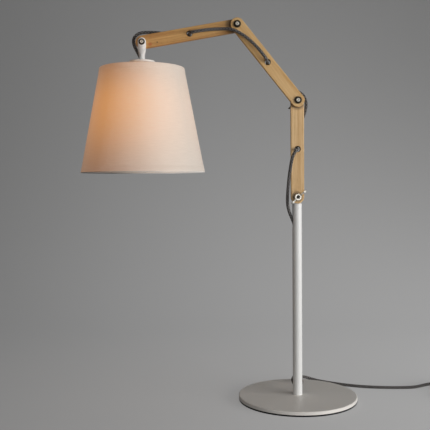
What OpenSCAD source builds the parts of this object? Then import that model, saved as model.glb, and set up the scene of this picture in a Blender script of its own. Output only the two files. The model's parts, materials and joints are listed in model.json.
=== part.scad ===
// Table lamp: steel disc and pole, three wooden swing arms clamped by wing nuts, and a fabric shade on a
// pivoting stem. Millimetres, Z up, origin at the centre of the face that the lamp stands on. The arms swing
// in planes parallel to XZ, the shade hangs towards -X, and -Y is the front.

/* [Base] */
// Diameter of the steel disc
disc_d = 200; // [170:1:260]
// Thickness of the steel disc
disc_t = 6; // [5.5:0.5:12]
// Radius of the disc's top edge
disc_edge_r = 1.5; // [0.5:0.1:2.5]
// How far the pad's edge stays inside the disc's edge
pad_inset = 1; // [0.5:0.5:20]
// Thickness of the pad
pad_t = 2; // [1:0.5:4]

/* [Pole] */
// Outside diameter of the pole
pole_d = 16; // [15:0.5:22]
// Wall of the pole tube
pole_wall = 1.5; // [1:0.1:2]
// Length of the pole tube
pole_l = 322.5; // [280:0.5:420]
// Diameter of the hole for the strain relief at the foot
exit_hole_d = 8; // [7:0.5:10]
// Height of that hole's centre above the disc
exit_rise = 22; // [20:1:40]
// Diameter of the screw that holds the pole on the disc
base_screw_d = 8; // [6:1:8]
// Length of the threaded plug in the foot of the pole
foot_plug_l = 16; // [10:1:17]
// Length of the plug in the top of the pole
top_plug_l = 9; // [6:1:11]
// Thickness of the cap that closes the pole
cap_t = 1.5; // [1:0.1:2]
// Height of the lowest pivot above the cap
pivot_rise = 12; // [11.5:0.5:20]
// Width of the flat tongue that carries the lowest pivot
tongue_w = 14; // [12:0.5:15]
// Thickness of the tongue
tongue_t = 3; // [2:0.5:5]

/* [Arms] */
// Distance between the two pivots of an arm
arm_pitch = 160; // [140:1:200]
// Width of an arm
arm_w = 22; // [20:0.5:22.5]
// Thickness of an arm
arm_t = 9; // [7:0.5:12]
// Diameter of the cord hole at the middle of an arm
cord_hole_d = 9; // [8.5:0.5:12]
// Lean of the middle arm from upright
middle_lean = 38.5; // [30:0.5:45]
// Lean of the upper arm from upright
upper_lean = 99.5; // [90:0.5:105]

/* [Pivots] */
// Diameter of the pivot bolts
bolt_d = 6; // [5:0.5:6]
// Diameter of the bolts' round heads
head_d = 10.5; // [9.5:0.5:12]
// Height of the heads
head_h = 3.3; // [2.5:0.1:4.5]
// Width across the flats of the key socket
socket_w = 4; // [3:0.5:5]
// Depth of the key socket
socket_depth = 2; // [1:0.1:2.4]
// Diameter of the washers
washer_d = 12.5; // [12:0.5:14]
// Thickness of the washers
washer_t = 1.6; // [1:0.1:2]
// Diameter of a wing nut at its seat
nut_d = 12.5; // [11:0.5:13]
// Diameter of a wing nut at its outer end
nut_top_d = 10; // [9:0.5:11]
// Height of a wing nut's hub
nut_h = 8; // [7:0.5:10]
// Distance of a wing's round tip from the axis
wing_reach = 12.5; // [11:0.5:14]
// Radius of a wing's round tip
wing_tip_r = 4; // [3:0.5:5]
// Height of the tip's centre above the seat
wing_rise = 13; // [12:0.5:14]
// Thickness of a wing
wing_t = 2.5; // [1.5:0.5:3.5]
// Length of bolt that shows past a wing nut
bolt_end = 1; // [0.5:0.5:4]

/* [Stem and canopy] */
// Outside diameter of the stem tube
stem_d = 10; // [9.5:0.1:12]
// Diameter of the passage in the stem
stem_bore_d = 7.4; // [6.5:0.1:7.5]
// Width of the flattened tab at the stem's pivot
tab_w = 13.5; // [13:0.5:16]
// Thickness of the tab
tab_t = 3; // [2.5:0.5:4]
// Length of the tab below the pivot
tab_l = 13; // [11.5:0.5:14]
// Length of the taper from the tab to the round tube
taper_l = 9; // [8:0.5:12]
// Distance from the pivot down to the top of the canopy plate
canopy_drop = 31.8; // [30:0.2:40]
// Diameter of the canopy plate
canopy_d = 42; // [38:1:60]
// Thickness of the canopy plate
canopy_t = 3.5; // [2.5:0.5:5]

/* [Shade] */
// Diameter of the shade's top edge
shade_top_d = 140; // [120:1:160]
// Diameter of the shade's bottom edge
shade_bottom_d = 205; // [170:1:240]
// Height of the shade
shade_h = 171; // [150:1:200]
// Thickness of the shade's laminated fabric
shade_wall = 1; // [0.6:0.1:2]
// Distance from the canopy's top down to the shade's top edge
shade_drop = 13; // [10:0.5:16]
// Diameter of the shade's wires
wire_d = 3; // [2:0.5:4]
// Number of spokes that carry the shade
spoke_count = 3; // [3:1:4]
// Diameter of the plate in the middle of the spokes
hub_d = 36; // [30:1:40]
// Thickness of that plate
hub_t = 2; // [1.5:0.1:3]

/* [Lampholder and bulb] */
// Height of the hexagon nut under the spokes
stem_nut_h = 4; // [3:0.5:5]
// Width across the flats of that nut
stem_nut_w = 14; // [13.5:0.5:17]
// Outside diameter of the lampholder
holder_d = 39; // [37:0.5:45]
// Height of the lampholder's cap
holder_cap_h = 17; // [15:1:24]
// Height of the lampholder's skirt
holder_skirt_h = 30; // [28:1:40]
// Wall of the lampholder
holder_wall = 2; // [1.5:0.1:2.5]
// Thickness of the insert that holds the contacts
insert_t = 6; // [4:0.5:8]
// Diameter of the bulb's screw cap
bulb_cap_d = 26.4; // [26:0.1:27]
// Length of the bulb's screw cap
bulb_cap_l = 24; // [20:1:26]
// Diameter of the bulb's round glass
bulb_d = 45; // [40:1:60]
// Distance from the screw cap's lower edge to the middle of the round glass
bulb_drop = 31; // [30:1:45]
// Wall of the bulb's glass
bulb_wall = 1; // [0.6:0.1:1.5]

/* [Cord, switch and plug] */
// Diameter of the cord
cord_d = 5.2; // [4.8:0.1:5.4]
// Length of the strain relief at the foot of the pole
relief_l = 24; // [20:1:40]
// Diameter of the strain relief where it leaves the pole
relief_d = 11; // [10.5:0.5:13]
// Diameter of the strain relief's tip
relief_tip_d = 7.6; // [7:0.1:8.5]
// Diameter of the strain relief's collar, which hugs the back of the pole
collar_d = 19.5; // [18:0.5:21]
// Thickness of the collar behind the pole
collar_t = 3.5; // [2.5:0.5:5]
// Length of the in-line switch
switch_l = 60; // [52:1:80]
// Width of the switch
switch_w = 26; // [24:1:32]
// Height of the switch
switch_h = 18; // [17:0.5:24]
// Wall of the switch's shells
switch_wall = 2; // [1.5:0.1:2.5]
// Length of the rocker
rocker_l = 19; // [15:0.5:22]
// Width of the rocker
rocker_w = 11; // [9:0.5:11.5]
// Tilt of the rocker to either side
rocker_tilt = 7; // [4:0.5:9]
// Diameter of the rocker's pin
rocker_pin_d = 3; // [2.4:0.1:3.2]
// Radius of the coil's outer turn
coil_r = 41; // [36:0.5:46]
// Step from one turn of the coil to the next
coil_step = 6; // [6:0.1:7]
// Number of turns in each of the coil's two layers
coil_turns = 3; // [2:1:3]
// Width of the tie round the coil
tie_w = 8; // [5:0.5:12]
// Thickness of the tie
tie_t = 0.8; // [0.5:0.1:1]
// Width of the plug
plug_w = 35; // [32:1:40]
// Thickness of the plug
plug_t = 14; // [13.5:0.1:18]
// Length of the plug's body
plug_l = 34; // [30:1:45]
// Length of the plug's tapered boot
plug_boot_l = 22; // [20:1:30]
// Diameter of the plug's pins
plug_pin_d = 4; // [4:0.1:4.8]
// Distance between the plug's pins
plug_pin_gap = 18.6; // [17:0.1:19.5]
// Length of the plug's pins
plug_pin_l = 19; // [17:0.5:20]

/* [Hidden] */
$fn = 64;

// Clearances
fit = 0.05;         // a bolt or pin in its hole, and a plug in its tube
face_gap = 0.2;     // between the flat faces of two pieces that swing on each other
nut_gap = 0.1;      // between a wing nut and its washer
wire_gap = 0.15;    // between a wire and the fabric round it
cord_gap = 0.3;     // round a cord in a close hole
end_gap = 0.3;      // between two stretches of cord that meet
thread_gap = 0.3;   // between the bulb's screw cap and the lampholder
floor_gap = 0.2;    // under what lies on the same surface as the lamp
past = 1;           // how far a cut runs past the face it opens

// Heights of the base and the pole
disc_top = pad_t + disc_t;
pad_d = disc_d - 2 * pad_inset;
pole_top = disc_top + pole_l;
pole_r = pole_d / 2;
pole_bore_r = pole_r - pole_wall;
cap_top = pole_top + cap_t;
exit_z = disc_top + exit_rise;
screw_r = base_screw_d / 2;
sink_h = screw_r;

// Pivots, as [x, z]
function leaned(lean) = [-sin(lean), cos(lean)];
lowest = [0, cap_top + pivot_rise];
elbow = lowest + arm_pitch * leaned(0);
top_elbow = elbow + arm_pitch * leaned(middle_lean);
shade_pivot = top_elbow + arm_pitch * leaned(upper_lean);

// Layers from back to front, as the y of each face
tongue_back = tongue_t / 2;
outer_arm_back = -tongue_t / 2 - face_gap;
outer_arm_front = outer_arm_back - arm_t;
middle_arm_back = outer_arm_front - face_gap;
middle_arm_front = middle_arm_back - arm_t;
tab_back = outer_arm_front - face_gap;
tab_front = tab_back - tab_t;
stem_y = (tab_back + tab_front) / 2;
stem_r = stem_d / 2;

// Heights of the shade head
canopy_top = shade_pivot[1] - canopy_drop;
hub_top = canopy_top - canopy_t;
nut_top = hub_top - hub_t;
shade_top = canopy_top - shade_drop;
shade_bottom = shade_top - shade_h;
holder_top = nut_top - stem_nut_h;
skirt_top = holder_top - holder_cap_h;
skirt_bottom = skirt_top - holder_skirt_h;
insert_bottom = skirt_top - insert_t;
stem_end = holder_top - holder_wall - 1.5;
contact_t = 1;
bulb_tip_l = 2.5;
bulb_cap_top = insert_bottom - contact_t - bulb_tip_l - face_gap;
bulb_cap_bottom = bulb_cap_top - bulb_cap_l;
bulb_middle = bulb_cap_bottom - bulb_drop;
shade_slope = (shade_bottom_d - shade_top_d) / 2 / shade_h;
function shade_inner_r(z) = shade_top_d / 2 - shade_wall + (shade_top - z) * shade_slope;
wire_r = wire_d / 2;
top_wire_z = shade_top - wire_r - wire_gap;
bottom_wire_z = shade_bottom + wire_r + wire_gap;
function wire_ring_r(z) = shade_inner_r(z) - (wire_r + wire_gap) * norm([1, shade_slope]);

// Routes of the cord, from the lampholder to the plug. The curve is a cubic B-spline on these points. The
// stretches along the arms are drawn about the pivots that they pass.
function about(pivot, points) = [for (p = points) p + [pivot[0], 0, pivot[1]]];
shade_route = about(shade_pivot, [
    [0, -12.4, -39.8], [0, -12.4, -35.3], [-0.8, -12, -30.4], [-3.2, -10.6, -25.2], [-6, -9, -19.6],
    [-9.2, -7, -13.6], [-12.6, -4.4, -7], [-15.2, -1.4, 0.2], [-15, 0.8, 7.8], [-10.6, 1.7, 14.2],
    [-2.6, 1.8, 17.8], [7.4, 1.8, 18.4], [18.4, 1.8, 18], [29.4, 2.2, 17], [40.4, 4.2, 15.8],
    [51.4, 7.4, 14.8], [61.4, 10.2, 14.1], [70.4, 10.6, 13.5], [76.8, 6, 13.2], [78.9, -0.6, 13.2],
    [78.9, -6.2, 13.2]
]);
upper_route = about(top_elbow, [
    [-78.9, -6.2, -13.2], [-78.9, -11, -13.2], [-77.2, -17.4, -13.1], [-72.4, -22, -12.7],
    [-66, -23.4, -12], [-58.4, -21.8, -10.6], [-49.4, -18.6, -8.9], [-40.4, -16.2, -7.6],
    [-30.9, -15, -6.9], [-21.4, -16.6, -7.1], [-12.4, -21, -8.2], [-3.9, -25, -11.2], [5.1, -26, -16.2],
    [14.6, -25.6, -22.6], [23.6, -25.8, -30.3], [32.1, -27.4, -39.3], [39.6, -28.7, -48.4],
    [44.5, -29, -55.3], [47.9, -26, -59.9], [49.8, -20.4, -62.6], [49.8, -15.4, -62.6]
]);
middle_route = about(elbow, [
    [-49.8, -15.4, 62.6], [-49.8, -11, 62.6], [-48.8, -5.2, 61.4], [-45, -0.2, 56.6], [-38.5, 1, 48.6],
    [-31, 0, 40], [-22, -1.6, 31.5], [-12, -2, 24.2], [-2, -0.2, 18.4], [8, 1.6, 14.2], [15, 1.8, 6],
    [16.5, 1.8, -4.2], [15.2, 1.8, -14.4], [12.2, 2.2, -24], [8.2, 3.2, -33.4], [4.4, 5, -43],
    [1.6, 7.6, -52.5], [0.3, 10, -62.5], [0, 9.6, -71.2], [0, 4.6, -78], [0, -2, -80], [0, -6.2, -80]
]);
lower_route = about(lowest, [
    [0, -6.2, 80], [0, -11, 80], [-0.6, -17, 79.7], [-3.4, -21.6, 77.2], [-7.2, -23, 72.2],
    [-10, -22.2, 65.2], [-11.6, -19.8, 56.6], [-12.8, -17, 47.4], [-14, -14.2, 37.8], [-15, -11.8, 27.8],
    [-15.7, -9.8, 17.8], [-16.3, -8, 7.8], [-16.8, -6.4, -2.2], [-16.5, -4.8, -12.2], [-14.6, -2.9, -21.7],
    [-11.5, -1.2, -30.2],
    [-7.8, -0.2, -38.2], [-4.6, 0, -46.4], [-2.6, 0, -55], [-1.5, 0, -64]
]);
pole_route = concat(
    about(lowest, [[-1.5, 0, -64], [-0.6, 0, -82], [0, 0, -104]]),
    about([0, exit_z], [
        [0, 0, 170], [0, 0, 130], [0, 0, 90], [0, -0.8, 60], [0, -2.2, 43], [0, -3.2, 30], [0, -3.6, 20.5],
        [0, -3.8, 12.8], [0, -2.4, 6.2], [0, 2.3, 1.4], [0, 8.8, -0.2], [0, 15.5, 0], [0, 21, 0],
        [0, 26.5, 0], [0, 32, 0]
    ])
);
lead_route = concat(about([0, exit_z], [[0, 32, 0], [0, 38, 0]]), [
    [0.7, 44.5, 29.2], [2.4, 53, 25.8], [4.6, 62, 20], [7, 71, 14.6], [9.6, 80, 11.7], [12.6, 90, 11.2],
    [16.8, 98.2, 11.2], [22.6, 104.4, 10.6], [30, 107.6, 8.2], [39, 107, 5.2], [49, 102.6, 3.4],
    [61, 95, 2.9], [77, 84.5, 2.9], [94, 74.5, 2.9], [114, 65.5, 2.9], [138, 58.6, 2.9], [165, 55, 2.9],
    [192, 54, 2.9], [212, 54, 3.1], [225, 54, 5.6], [235.5, 54, 8.4], [243, 54, 9.2], [249.5, 54, 9.2],
    [256, 54, 9.2]
]);
switch_route = [
    [302, 54, 9.2], [308, 54, 9.2], [314.5, 54, 9.2], [322.5, 53.2, 7.4], [330.5, 49, 4.8],
    [335.8, 41.6, 3.8], [338, 32.4, 3.7], [338, 22, 3.7], [338, 10, 3.7], [338, -2, 3.7]
];
plug_route = [
    [338, -14, 9.9], [338, -20, 9.9], [338, -30, 9.6], [338, -42, 8], [338, -54, 7.3], [338, -64, 7.2],
    [338, -86, 7.2]
];
lead_end = lead_route[len(lead_route) - 1];
plug_start = plug_route[len(plug_route) - 1];
cord_r = cord_d / 2;

// Slot in the pole and passage in the stem for the cord
slot_w = cord_d + 1.8;
slot_top = pole_top - 12.5;
slot_bottom = slot_top - 28;
passage_r = 3.5;
passage_in = [shade_pivot[0], stem_y, shade_pivot[1] - 32];
passage_out = [shade_pivot[0] - 9.4, stem_y + 5.4, shade_pivot[1] - 13];

// The coil turns in on the lower layer and out again on the upper one
coil_end_l = 6;
coil_start = switch_route[len(switch_route) - 1];
coil_middle = [coil_start[0] - coil_r, coil_start[1] - coil_end_l];
coil_low = coil_start[2];
coil_high = coil_low + coil_step + 0.2;
ring_count = 24;
function eased(t) = t * t * (3 - 2 * t);
function coil_radius(t) = coil_r - coil_step * (coil_turns - abs(coil_turns - t));
function coil_height(t) =
    coil_low + (coil_high - coil_low) * eased(min(1, max(0, (t - coil_turns + 0.25) * 2)));
function coil_point(t) = [
    coil_middle[0] + coil_radius(t) * cos(-360 * t),
    coil_middle[1] + coil_radius(t) * sin(-360 * t),
    coil_height(t)
];
coil_path = concat(
    [coil_point(0) + [0, coil_end_l, 0]],
    [for (i = [0:2 * coil_turns * ring_count]) coil_point(i / ring_count)],
    [coil_point(2 * coil_turns) - [0, coil_end_l, 0]]
);
far_enough = ring_count / 2;
coil_gaps = [
    for (i = [0:len(coil_path) - 1])
        for (j = [i + far_enough:1:len(coil_path) - 1])
            norm(coil_path[i] - coil_path[j])
];
echo(coil_least_gap = min(coil_gaps) - cord_d);

// A cubic B-spline through the ends of a list of points, with some steps in each span
function spline_point(a, b, c, d, t) =
    (pow(1 - t, 3) * a + (3 * pow(t, 3) - 6 * t * t + 4) * b
        + (-3 * pow(t, 3) + 3 * t * t + 3 * t + 1) * c + pow(t, 3) * d) / 6;
function ended(p) = concat([2 * p[0] - p[1]], p, [2 * p[len(p) - 1] - p[len(p) - 2]]);
function spline(p, steps) = let (q = ended(p), n = len(p) - 1) concat(
    [for (i = [0:n - 1], k = [0:steps - 1]) spline_point(q[i], q[i + 1], q[i + 2], q[i + 3], k / steps)],
    [p[n]]
);
function unit(v) = v / norm(v);
function heading(p, i) = unit(p[min(i + 1, len(p) - 1)] - p[max(i - 1, 0)]);
function trimmed(p) = let (n = len(p) - 1) concat(
    [p[0] + end_gap / 2 * heading(p, 0)],
    [for (i = [1:n - 1]) p[i]],
    [p[n] - end_gap / 2 * heading(p, n)]
);
function square_to(v, t) = unit(v - (v * t) * t);
function sides_of(p) = [
    for (i = 0, v = square_to([0.31, 0.87, 0.38], heading(p, 0)); i < len(p);
        i = i + 1, v = i < len(p) ? square_to(v, heading(p, i)) : v) v
];

// A round tube of some sides along a list of points
module tube_along(path, d, sides) {
    n = len(path);
    across = sides_of(path);
    rings = [
        for (i = [0:n - 1], k = [0:sides - 1])
            let (t = heading(path, i), u = across[i], w = cross(t, u), a = 360 * k / sides)
                path[i] + d / 2 * (cos(a) * u + sin(a) * w)
    ];
    walls = [
        for (i = [0:n - 2], k = [0:sides - 1], half = [0, 1])
            let (a = i * sides + k, b = i * sides + (k + 1) % sides)
                half == 0 ? [a, a + sides, b] : [b, a + sides, b + sides]
    ];
    start = [for (k = [1:sides - 2]) [0, k, k + 1]];
    last = (n - 1) * sides;
    finish = [for (k = [1:sides - 2]) [last, last + k + 1, last + k]];
    polyhedron(rings, concat(walls, start, finish));
}

// A straight round bar from one point to another
module bar(a, b, r) {
    v = b - a;
    translate(a)
        rotate([0, acos(v[2] / norm(v)), atan2(v[1], v[0])])
            cylinder(r = r, h = norm(v));
}

// Moves what is drawn upright at the origin to a pivot, and leans it
module at_pivot(p, lean) {
    translate([p[0], 0, p[1]])
        rotate([0, -lean, 0])
            children();
}

// Turns what is drawn along Z so that it points to the back or to the front
module facing_back(p, y) {
    translate([p[0], y, p[1]])
        rotate([-90, 0, 0])
            children();
}
module facing_front(p, y) {
    translate([p[0], y, p[1]])
        rotate([90, 0, 0])
            children();
}

// A flat piece drawn in XZ, from its back face to the front
module flat(back, t) {
    translate([0, back, 0])
        rotate([90, 0, 0])
            linear_extrude(t)
                children();
}

module arm_bar(back) {
    flat(back, arm_t)
        difference() {
            union() {
                circle(d = arm_w);
                translate([0, arm_pitch])
                    circle(d = arm_w);
                translate([-arm_w / 2, 0])
                    square([arm_w, arm_pitch]);
            }
            for (at = [0, arm_pitch])
                translate([0, at])
                    circle(d = bolt_d + 2 * fit);
            translate([0, arm_pitch / 2])
                circle(d = cord_hole_d);
        }
}

// A bolt with a round head under z = 0 and its shank above
module button_bolt(l) {
    dome_r = (pow(head_d / 2, 2) + head_h * head_h) / 2 / head_h;
    cylinder(d = bolt_d, h = l);
    difference() {
        intersection() {
            translate([0, 0, dome_r - head_h])
                sphere(r = dome_r);
            translate([0, 0, -head_h])
                cylinder(d = head_d, h = head_h);
        }
        translate([0, 0, -head_h - past])
            cylinder(d = socket_w / cos(30), h = socket_depth + past, $fn = 6);
    }
}

module washer() {
    difference() {
        cylinder(d = washer_d, h = washer_t);
        translate([0, 0, -past])
            cylinder(d = bolt_d + 2 * face_gap, h = washer_t + 2 * past);
    }
}

// A wing nut that stands on z = 0, with its wings along X before it is turned
module wing_nut(turn) {
    root_in = nut_top_d / 2 - 1;
    root_low = 3.2;
    tip_low = [wing_reach + wing_tip_r * cos(-50), wing_rise + wing_tip_r * sin(-50)];
    tip_high = [wing_reach + wing_tip_r * cos(140), wing_rise + wing_tip_r * sin(140)];
    rotate([0, 0, turn])
        difference() {
            union() {
                cylinder(d1 = nut_d, d2 = nut_top_d, h = nut_h);
                for (side = [0, 180])
                    rotate([0, 0, side])
                        translate([0, wing_t / 2, 0])
                            rotate([90, 0, 0])
                                linear_extrude(wing_t) {
                                    polygon([
                                        [root_in, root_low], [nut_d / 2, root_low + 0.4], tip_low,
                                        [wing_reach, wing_rise], tip_high, [root_in, nut_h]
                                    ]);
                                    translate([wing_reach, wing_rise])
                                        circle(r = wing_tip_r);
                                }
            }
            translate([0, 0, -past])
                cylinder(d = bolt_d + 2 * fit, h = nut_h + 2 * past);
        }
}

module ring_wire(r, z) {
    translate([shade_pivot[0], stem_y, z])
        rotate_extrude($fn = 96)
            translate([r, 0])
                circle(d = wire_d);
}

// Draws on the axis of the stem
module on_stem() {
    translate([shade_pivot[0], stem_y, 0])
        children();
}

module base_disc() {
    color("gainsboro")
        difference() {
            translate([0, 0, pad_t])
                rotate_extrude($fn = 128) {
                    square([disc_d / 2, disc_t - disc_edge_r]);
                    square([disc_d / 2 - disc_edge_r, disc_t]);
                    translate([disc_d / 2 - disc_edge_r, disc_t - disc_edge_r])
                        circle(r = disc_edge_r);
                }
            translate([0, 0, pad_t - past])
                cylinder(r = screw_r + fit, h = disc_t + 2 * past);
            translate([0, 0, pad_t])
                cylinder(r1 = screw_r + sink_h + fit, r2 = screw_r + fit, h = sink_h);
        }
}

module base_pad() {
    color("dimgray")
        cylinder(d = pad_d, h = pad_t, $fn = 128);
}

module base_screw() {
    color("silver")
        translate([0, 0, pad_t])
            difference() {
                union() {
                    cylinder(r1 = screw_r + sink_h, r2 = screw_r, h = sink_h);
                    cylinder(r = screw_r, h = disc_t + foot_plug_l - past);
                }
                translate([0, 0, -past])
                    cylinder(d = screw_r * 1.2 / cos(30), h = sink_h / 2 + past, $fn = 6);
            }
}

module pole() {
    color("whitesmoke")
        difference() {
            translate([0, 0, disc_top])
                cylinder(r = pole_r, h = pole_l);
            translate([0, 0, disc_top - past])
                cylinder(r = pole_bore_r, h = pole_l + 2 * past);
            translate([0, 0, exit_z])
                rotate([-90, 0, 0])
                    cylinder(d = exit_hole_d, h = pole_r + past);
            for (z = [slot_bottom + slot_w / 2, slot_top - slot_w / 2])
                translate([0, 0, z])
                    rotate([0, -90, 0])
                        cylinder(d = slot_w, h = pole_r + past);
            translate([-pole_r - past, -slot_w / 2, slot_bottom + slot_w / 2])
                cube([pole_r + past, slot_w, slot_top - slot_bottom - slot_w]);
        }
}

module pole_foot_plug() {
    color("silver")
        translate([0, 0, disc_top])
            difference() {
                cylinder(r = pole_bore_r - fit, h = foot_plug_l);
                translate([0, 0, -past])
                    cylinder(r = screw_r + fit, h = foot_plug_l + 2 * past);
            }
}

module pole_tongue() {
    color("whitesmoke") {
        translate([0, 0, pole_top - top_plug_l])
            cylinder(r = pole_bore_r - fit, h = top_plug_l);
        translate([0, 0, pole_top])
            cylinder(r = pole_r, h = cap_t);
        flat(tongue_back, tongue_t)
            difference() {
                union() {
                    translate(lowest)
                        circle(d = tongue_w);
                    translate([-tongue_w / 2, cap_top - cap_t / 2])
                        square([tongue_w, pivot_rise + cap_t / 2]);
                }
                translate(lowest)
                    circle(d = bolt_d + 2 * fit);
            }
    }
}

module tongue_washer() {
    color("silver")
        facing_back(lowest, tongue_back)
            washer();
}

module lower_pivot_bolt() {
    head_y = tongue_back + washer_t;
    color("silver")
        facing_front(lowest, head_y)
            button_bolt(head_y - outer_arm_front + washer_t + nut_gap + nut_h + bolt_end);
}

module strain_relief() {
    color("dimgray")
        translate([0, 0, exit_z])
            rotate([-90, 0, 0])
                difference() {
                    union() {
                        translate([0, 0, pole_bore_r])
                            cylinder(d = exit_hole_d - 2 * fit, h = pole_wall + past);
                        intersection() {
                            union() {
                                translate([0, 0, pole_bore_r])
                                    cylinder(d1 = relief_d, d2 = relief_tip_d, h = relief_l + pole_wall);
                                translate([0, 0, 2])
                                    cylinder(d = collar_d, h = pole_r + collar_t - 3);
                                translate([0, 0, pole_r + collar_t - 1])
                                    cylinder(d1 = collar_d, d2 = collar_d - 2, h = 1);
                            }
                            difference() {
                                translate([-relief_d, -relief_d, 0])
                                    cube([2 * relief_d, 2 * relief_d, 2 * relief_l]);
                                rotate([90, 0, 0])
                                    cylinder(r = pole_r + fit, h = 4 * relief_d, center = true);
                            }
                        }
                    }
                    cylinder(d = cord_d + 2 * cord_gap, h = 2 * relief_l);
                    translate([0, 0, pole_bore_r - past])
                        cylinder(
                            d1 = exit_hole_d - 6 * fit, d2 = cord_d + 2 * cord_gap, h = 6 * pole_wall + past
                        );
                }
}

module lower_arm() {
    color("burlywood")
        at_pivot(lowest, 0)
            arm_bar(outer_arm_back);
}

module middle_arm() {
    color("burlywood")
        at_pivot(elbow, middle_lean)
            arm_bar(middle_arm_back);
}

module upper_arm() {
    color("burlywood")
        at_pivot(top_elbow, upper_lean)
            arm_bar(outer_arm_back);
}

module lower_arm_washers() {
    color("silver") {
        facing_front(lowest, outer_arm_front)
            washer();
        facing_back(elbow, outer_arm_back)
            washer();
    }
}

module middle_arm_washers() {
    color("silver")
        for (p = [elbow, top_elbow])
            facing_front(p, middle_arm_front)
                washer();
}

module upper_arm_washers() {
    color("silver")
        for (p = [top_elbow, shade_pivot])
            facing_back(p, outer_arm_back)
                washer();
}

nut_seat = outer_arm_back + washer_t + nut_gap;

module middle_pivot_bolts() {
    head_y = middle_arm_front - washer_t;
    color("silver")
        for (p = [elbow, top_elbow])
            facing_back(p, head_y)
                button_bolt(nut_seat + nut_h + bolt_end - head_y);
}

module shade_pivot_bolt() {
    color("silver")
        facing_back(shade_pivot, tab_front)
            button_bolt(nut_seat + nut_h + bolt_end - tab_front);
}

module lower_wing_nut() {
    color("silver")
        facing_front(lowest, outer_arm_front - washer_t - nut_gap)
            wing_nut(42);
}

module elbow_wing_nut() {
    color("silver")
        facing_back(elbow, nut_seat)
            wing_nut(-42);
}

module upper_wing_nut() {
    color("silver")
        facing_back(top_elbow, nut_seat)
            wing_nut(90 - middle_lean);
}

module shade_wing_nut() {
    color("silver")
        facing_back(shade_pivot, nut_seat)
            wing_nut(90 - upper_lean);
}

module shade_stem() {
    taper_top = shade_pivot[1] - tab_l;
    tube_top = taper_top - taper_l;
    color("whitesmoke")
        difference() {
            union() {
                flat(tab_back, tab_t) {
                    translate(shade_pivot)
                        circle(d = tab_w);
                    translate([shade_pivot[0] - tab_w / 2, taper_top])
                        square([tab_w, tab_l]);
                }
                hull() {
                    translate([shade_pivot[0] - tab_w / 2, tab_front, taper_top])
                        cube([tab_w, tab_t, 0.5]);
                    on_stem()
                        translate([0, 0, tube_top - 0.5])
                            cylinder(r = stem_r, h = 0.5, $fn = 32);
                }
                on_stem()
                    translate([0, 0, stem_end])
                        cylinder(r = stem_r, h = tube_top - stem_end);
            }
            facing_back(shade_pivot, tab_front - past)
                cylinder(d = bolt_d + 2 * fit, h = tab_t + 2 * past);
            on_stem()
                translate([0, 0, stem_end - past])
                    cylinder(d = stem_bore_d, h = passage_in[2] + 4 - stem_end);
            bar(passage_in, passage_out, passage_r);
        }
}

module canopy() {
    edge = 1;
    color("whitesmoke")
        on_stem()
            translate([0, 0, hub_top])
                difference() {
                    rotate_extrude() {
                        square([canopy_d / 2 - edge, canopy_t]);
                        translate([0, edge])
                            square([canopy_d / 2, canopy_t - 2 * edge]);
                        for (z = [edge, canopy_t - edge])
                            translate([canopy_d / 2 - edge, z])
                                circle(r = edge);
                    }
                    translate([0, 0, -past])
                        cylinder(r = stem_r + fit, h = canopy_t + 2 * past);
                }
}

module shade_spider() {
    ring_r = wire_ring_r(top_wire_z);
    color("whitesmoke") {
        ring_wire(ring_r, top_wire_z);
        on_stem() {
            translate([0, 0, nut_top])
                difference() {
                    cylinder(d = hub_d, h = hub_t);
                    translate([0, 0, -past])
                        cylinder(r = stem_r + fit, h = hub_t + 2 * past);
                }
            for (k = [0:spoke_count - 1])
                rotate([0, 0, 90 + 360 * k / spoke_count])
                    bar([hub_d / 2 - 2, 0, nut_top + hub_t / 2], [ring_r, 0, top_wire_z], hub_t / 2);
        }
    }
}

module shade_bottom_ring() {
    color("whitesmoke")
        ring_wire(wire_ring_r(bottom_wire_z), bottom_wire_z);
}

module shade_skin() {
    color("linen")
        on_stem()
            rotate_extrude($fn = 128)
                polygon([
                    [shade_inner_r(shade_top), shade_top], [shade_top_d / 2, shade_top],
                    [shade_bottom_d / 2, shade_bottom], [shade_inner_r(shade_bottom), shade_bottom]
                ]);
}

module stem_nut() {
    color("silver")
        on_stem()
            translate([0, 0, holder_top])
                difference() {
                    cylinder(d = stem_nut_w / cos(30), h = stem_nut_h, $fn = 6);
                    translate([0, 0, -past])
                        cylinder(r = stem_r + fit, h = stem_nut_h + 2 * past);
                }
}

module lampholder_cap() {
    neck_r = stem_r + 5;
    color("white")
        on_stem()
            translate([0, 0, skirt_top])
                difference() {
                    union() {
                        cylinder(d = holder_d, h = holder_cap_h / 4);
                        translate([0, 0, holder_cap_h / 4])
                            cylinder(d1 = holder_d, d2 = 2 * neck_r, h = holder_cap_h * 3 / 4);
                    }
                    translate([0, 0, -past])
                        cylinder(d = holder_d - 2 * holder_wall, h = holder_cap_h / 4 + past);
                    translate([0, 0, holder_cap_h / 4 - 0.01])
                        cylinder(
                            d1 = holder_d - 2 * holder_wall, d2 = 2 * (stem_r + 1),
                            h = holder_cap_h * 3 / 4 - holder_wall
                        );
                    cylinder(r = stem_r + fit, h = holder_cap_h + past);
                }
}

module lampholder_skirt() {
    color("white")
        on_stem()
            translate([0, 0, skirt_bottom])
                difference() {
                    cylinder(d = holder_d, h = holder_skirt_h);
                    translate([0, 0, -past])
                        cylinder(d = bulb_cap_d + 2 * thread_gap, h = holder_skirt_h + 2 * past);
                    translate([0, 0, holder_skirt_h - insert_t])
                        cylinder(d = holder_d - 2 * holder_wall, h = insert_t + past);
                }
}

module lampholder_insert() {
    color("ivory")
        on_stem()
            translate([0, 0, insert_bottom])
                difference() {
                    cylinder(d = holder_d - 2 * holder_wall - 2 * fit, h = insert_t);
                    translate([0, 0, -past])
                        cylinder(d = cord_d + 2 * cord_gap, h = insert_t + 2 * past);
                }
}

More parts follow.
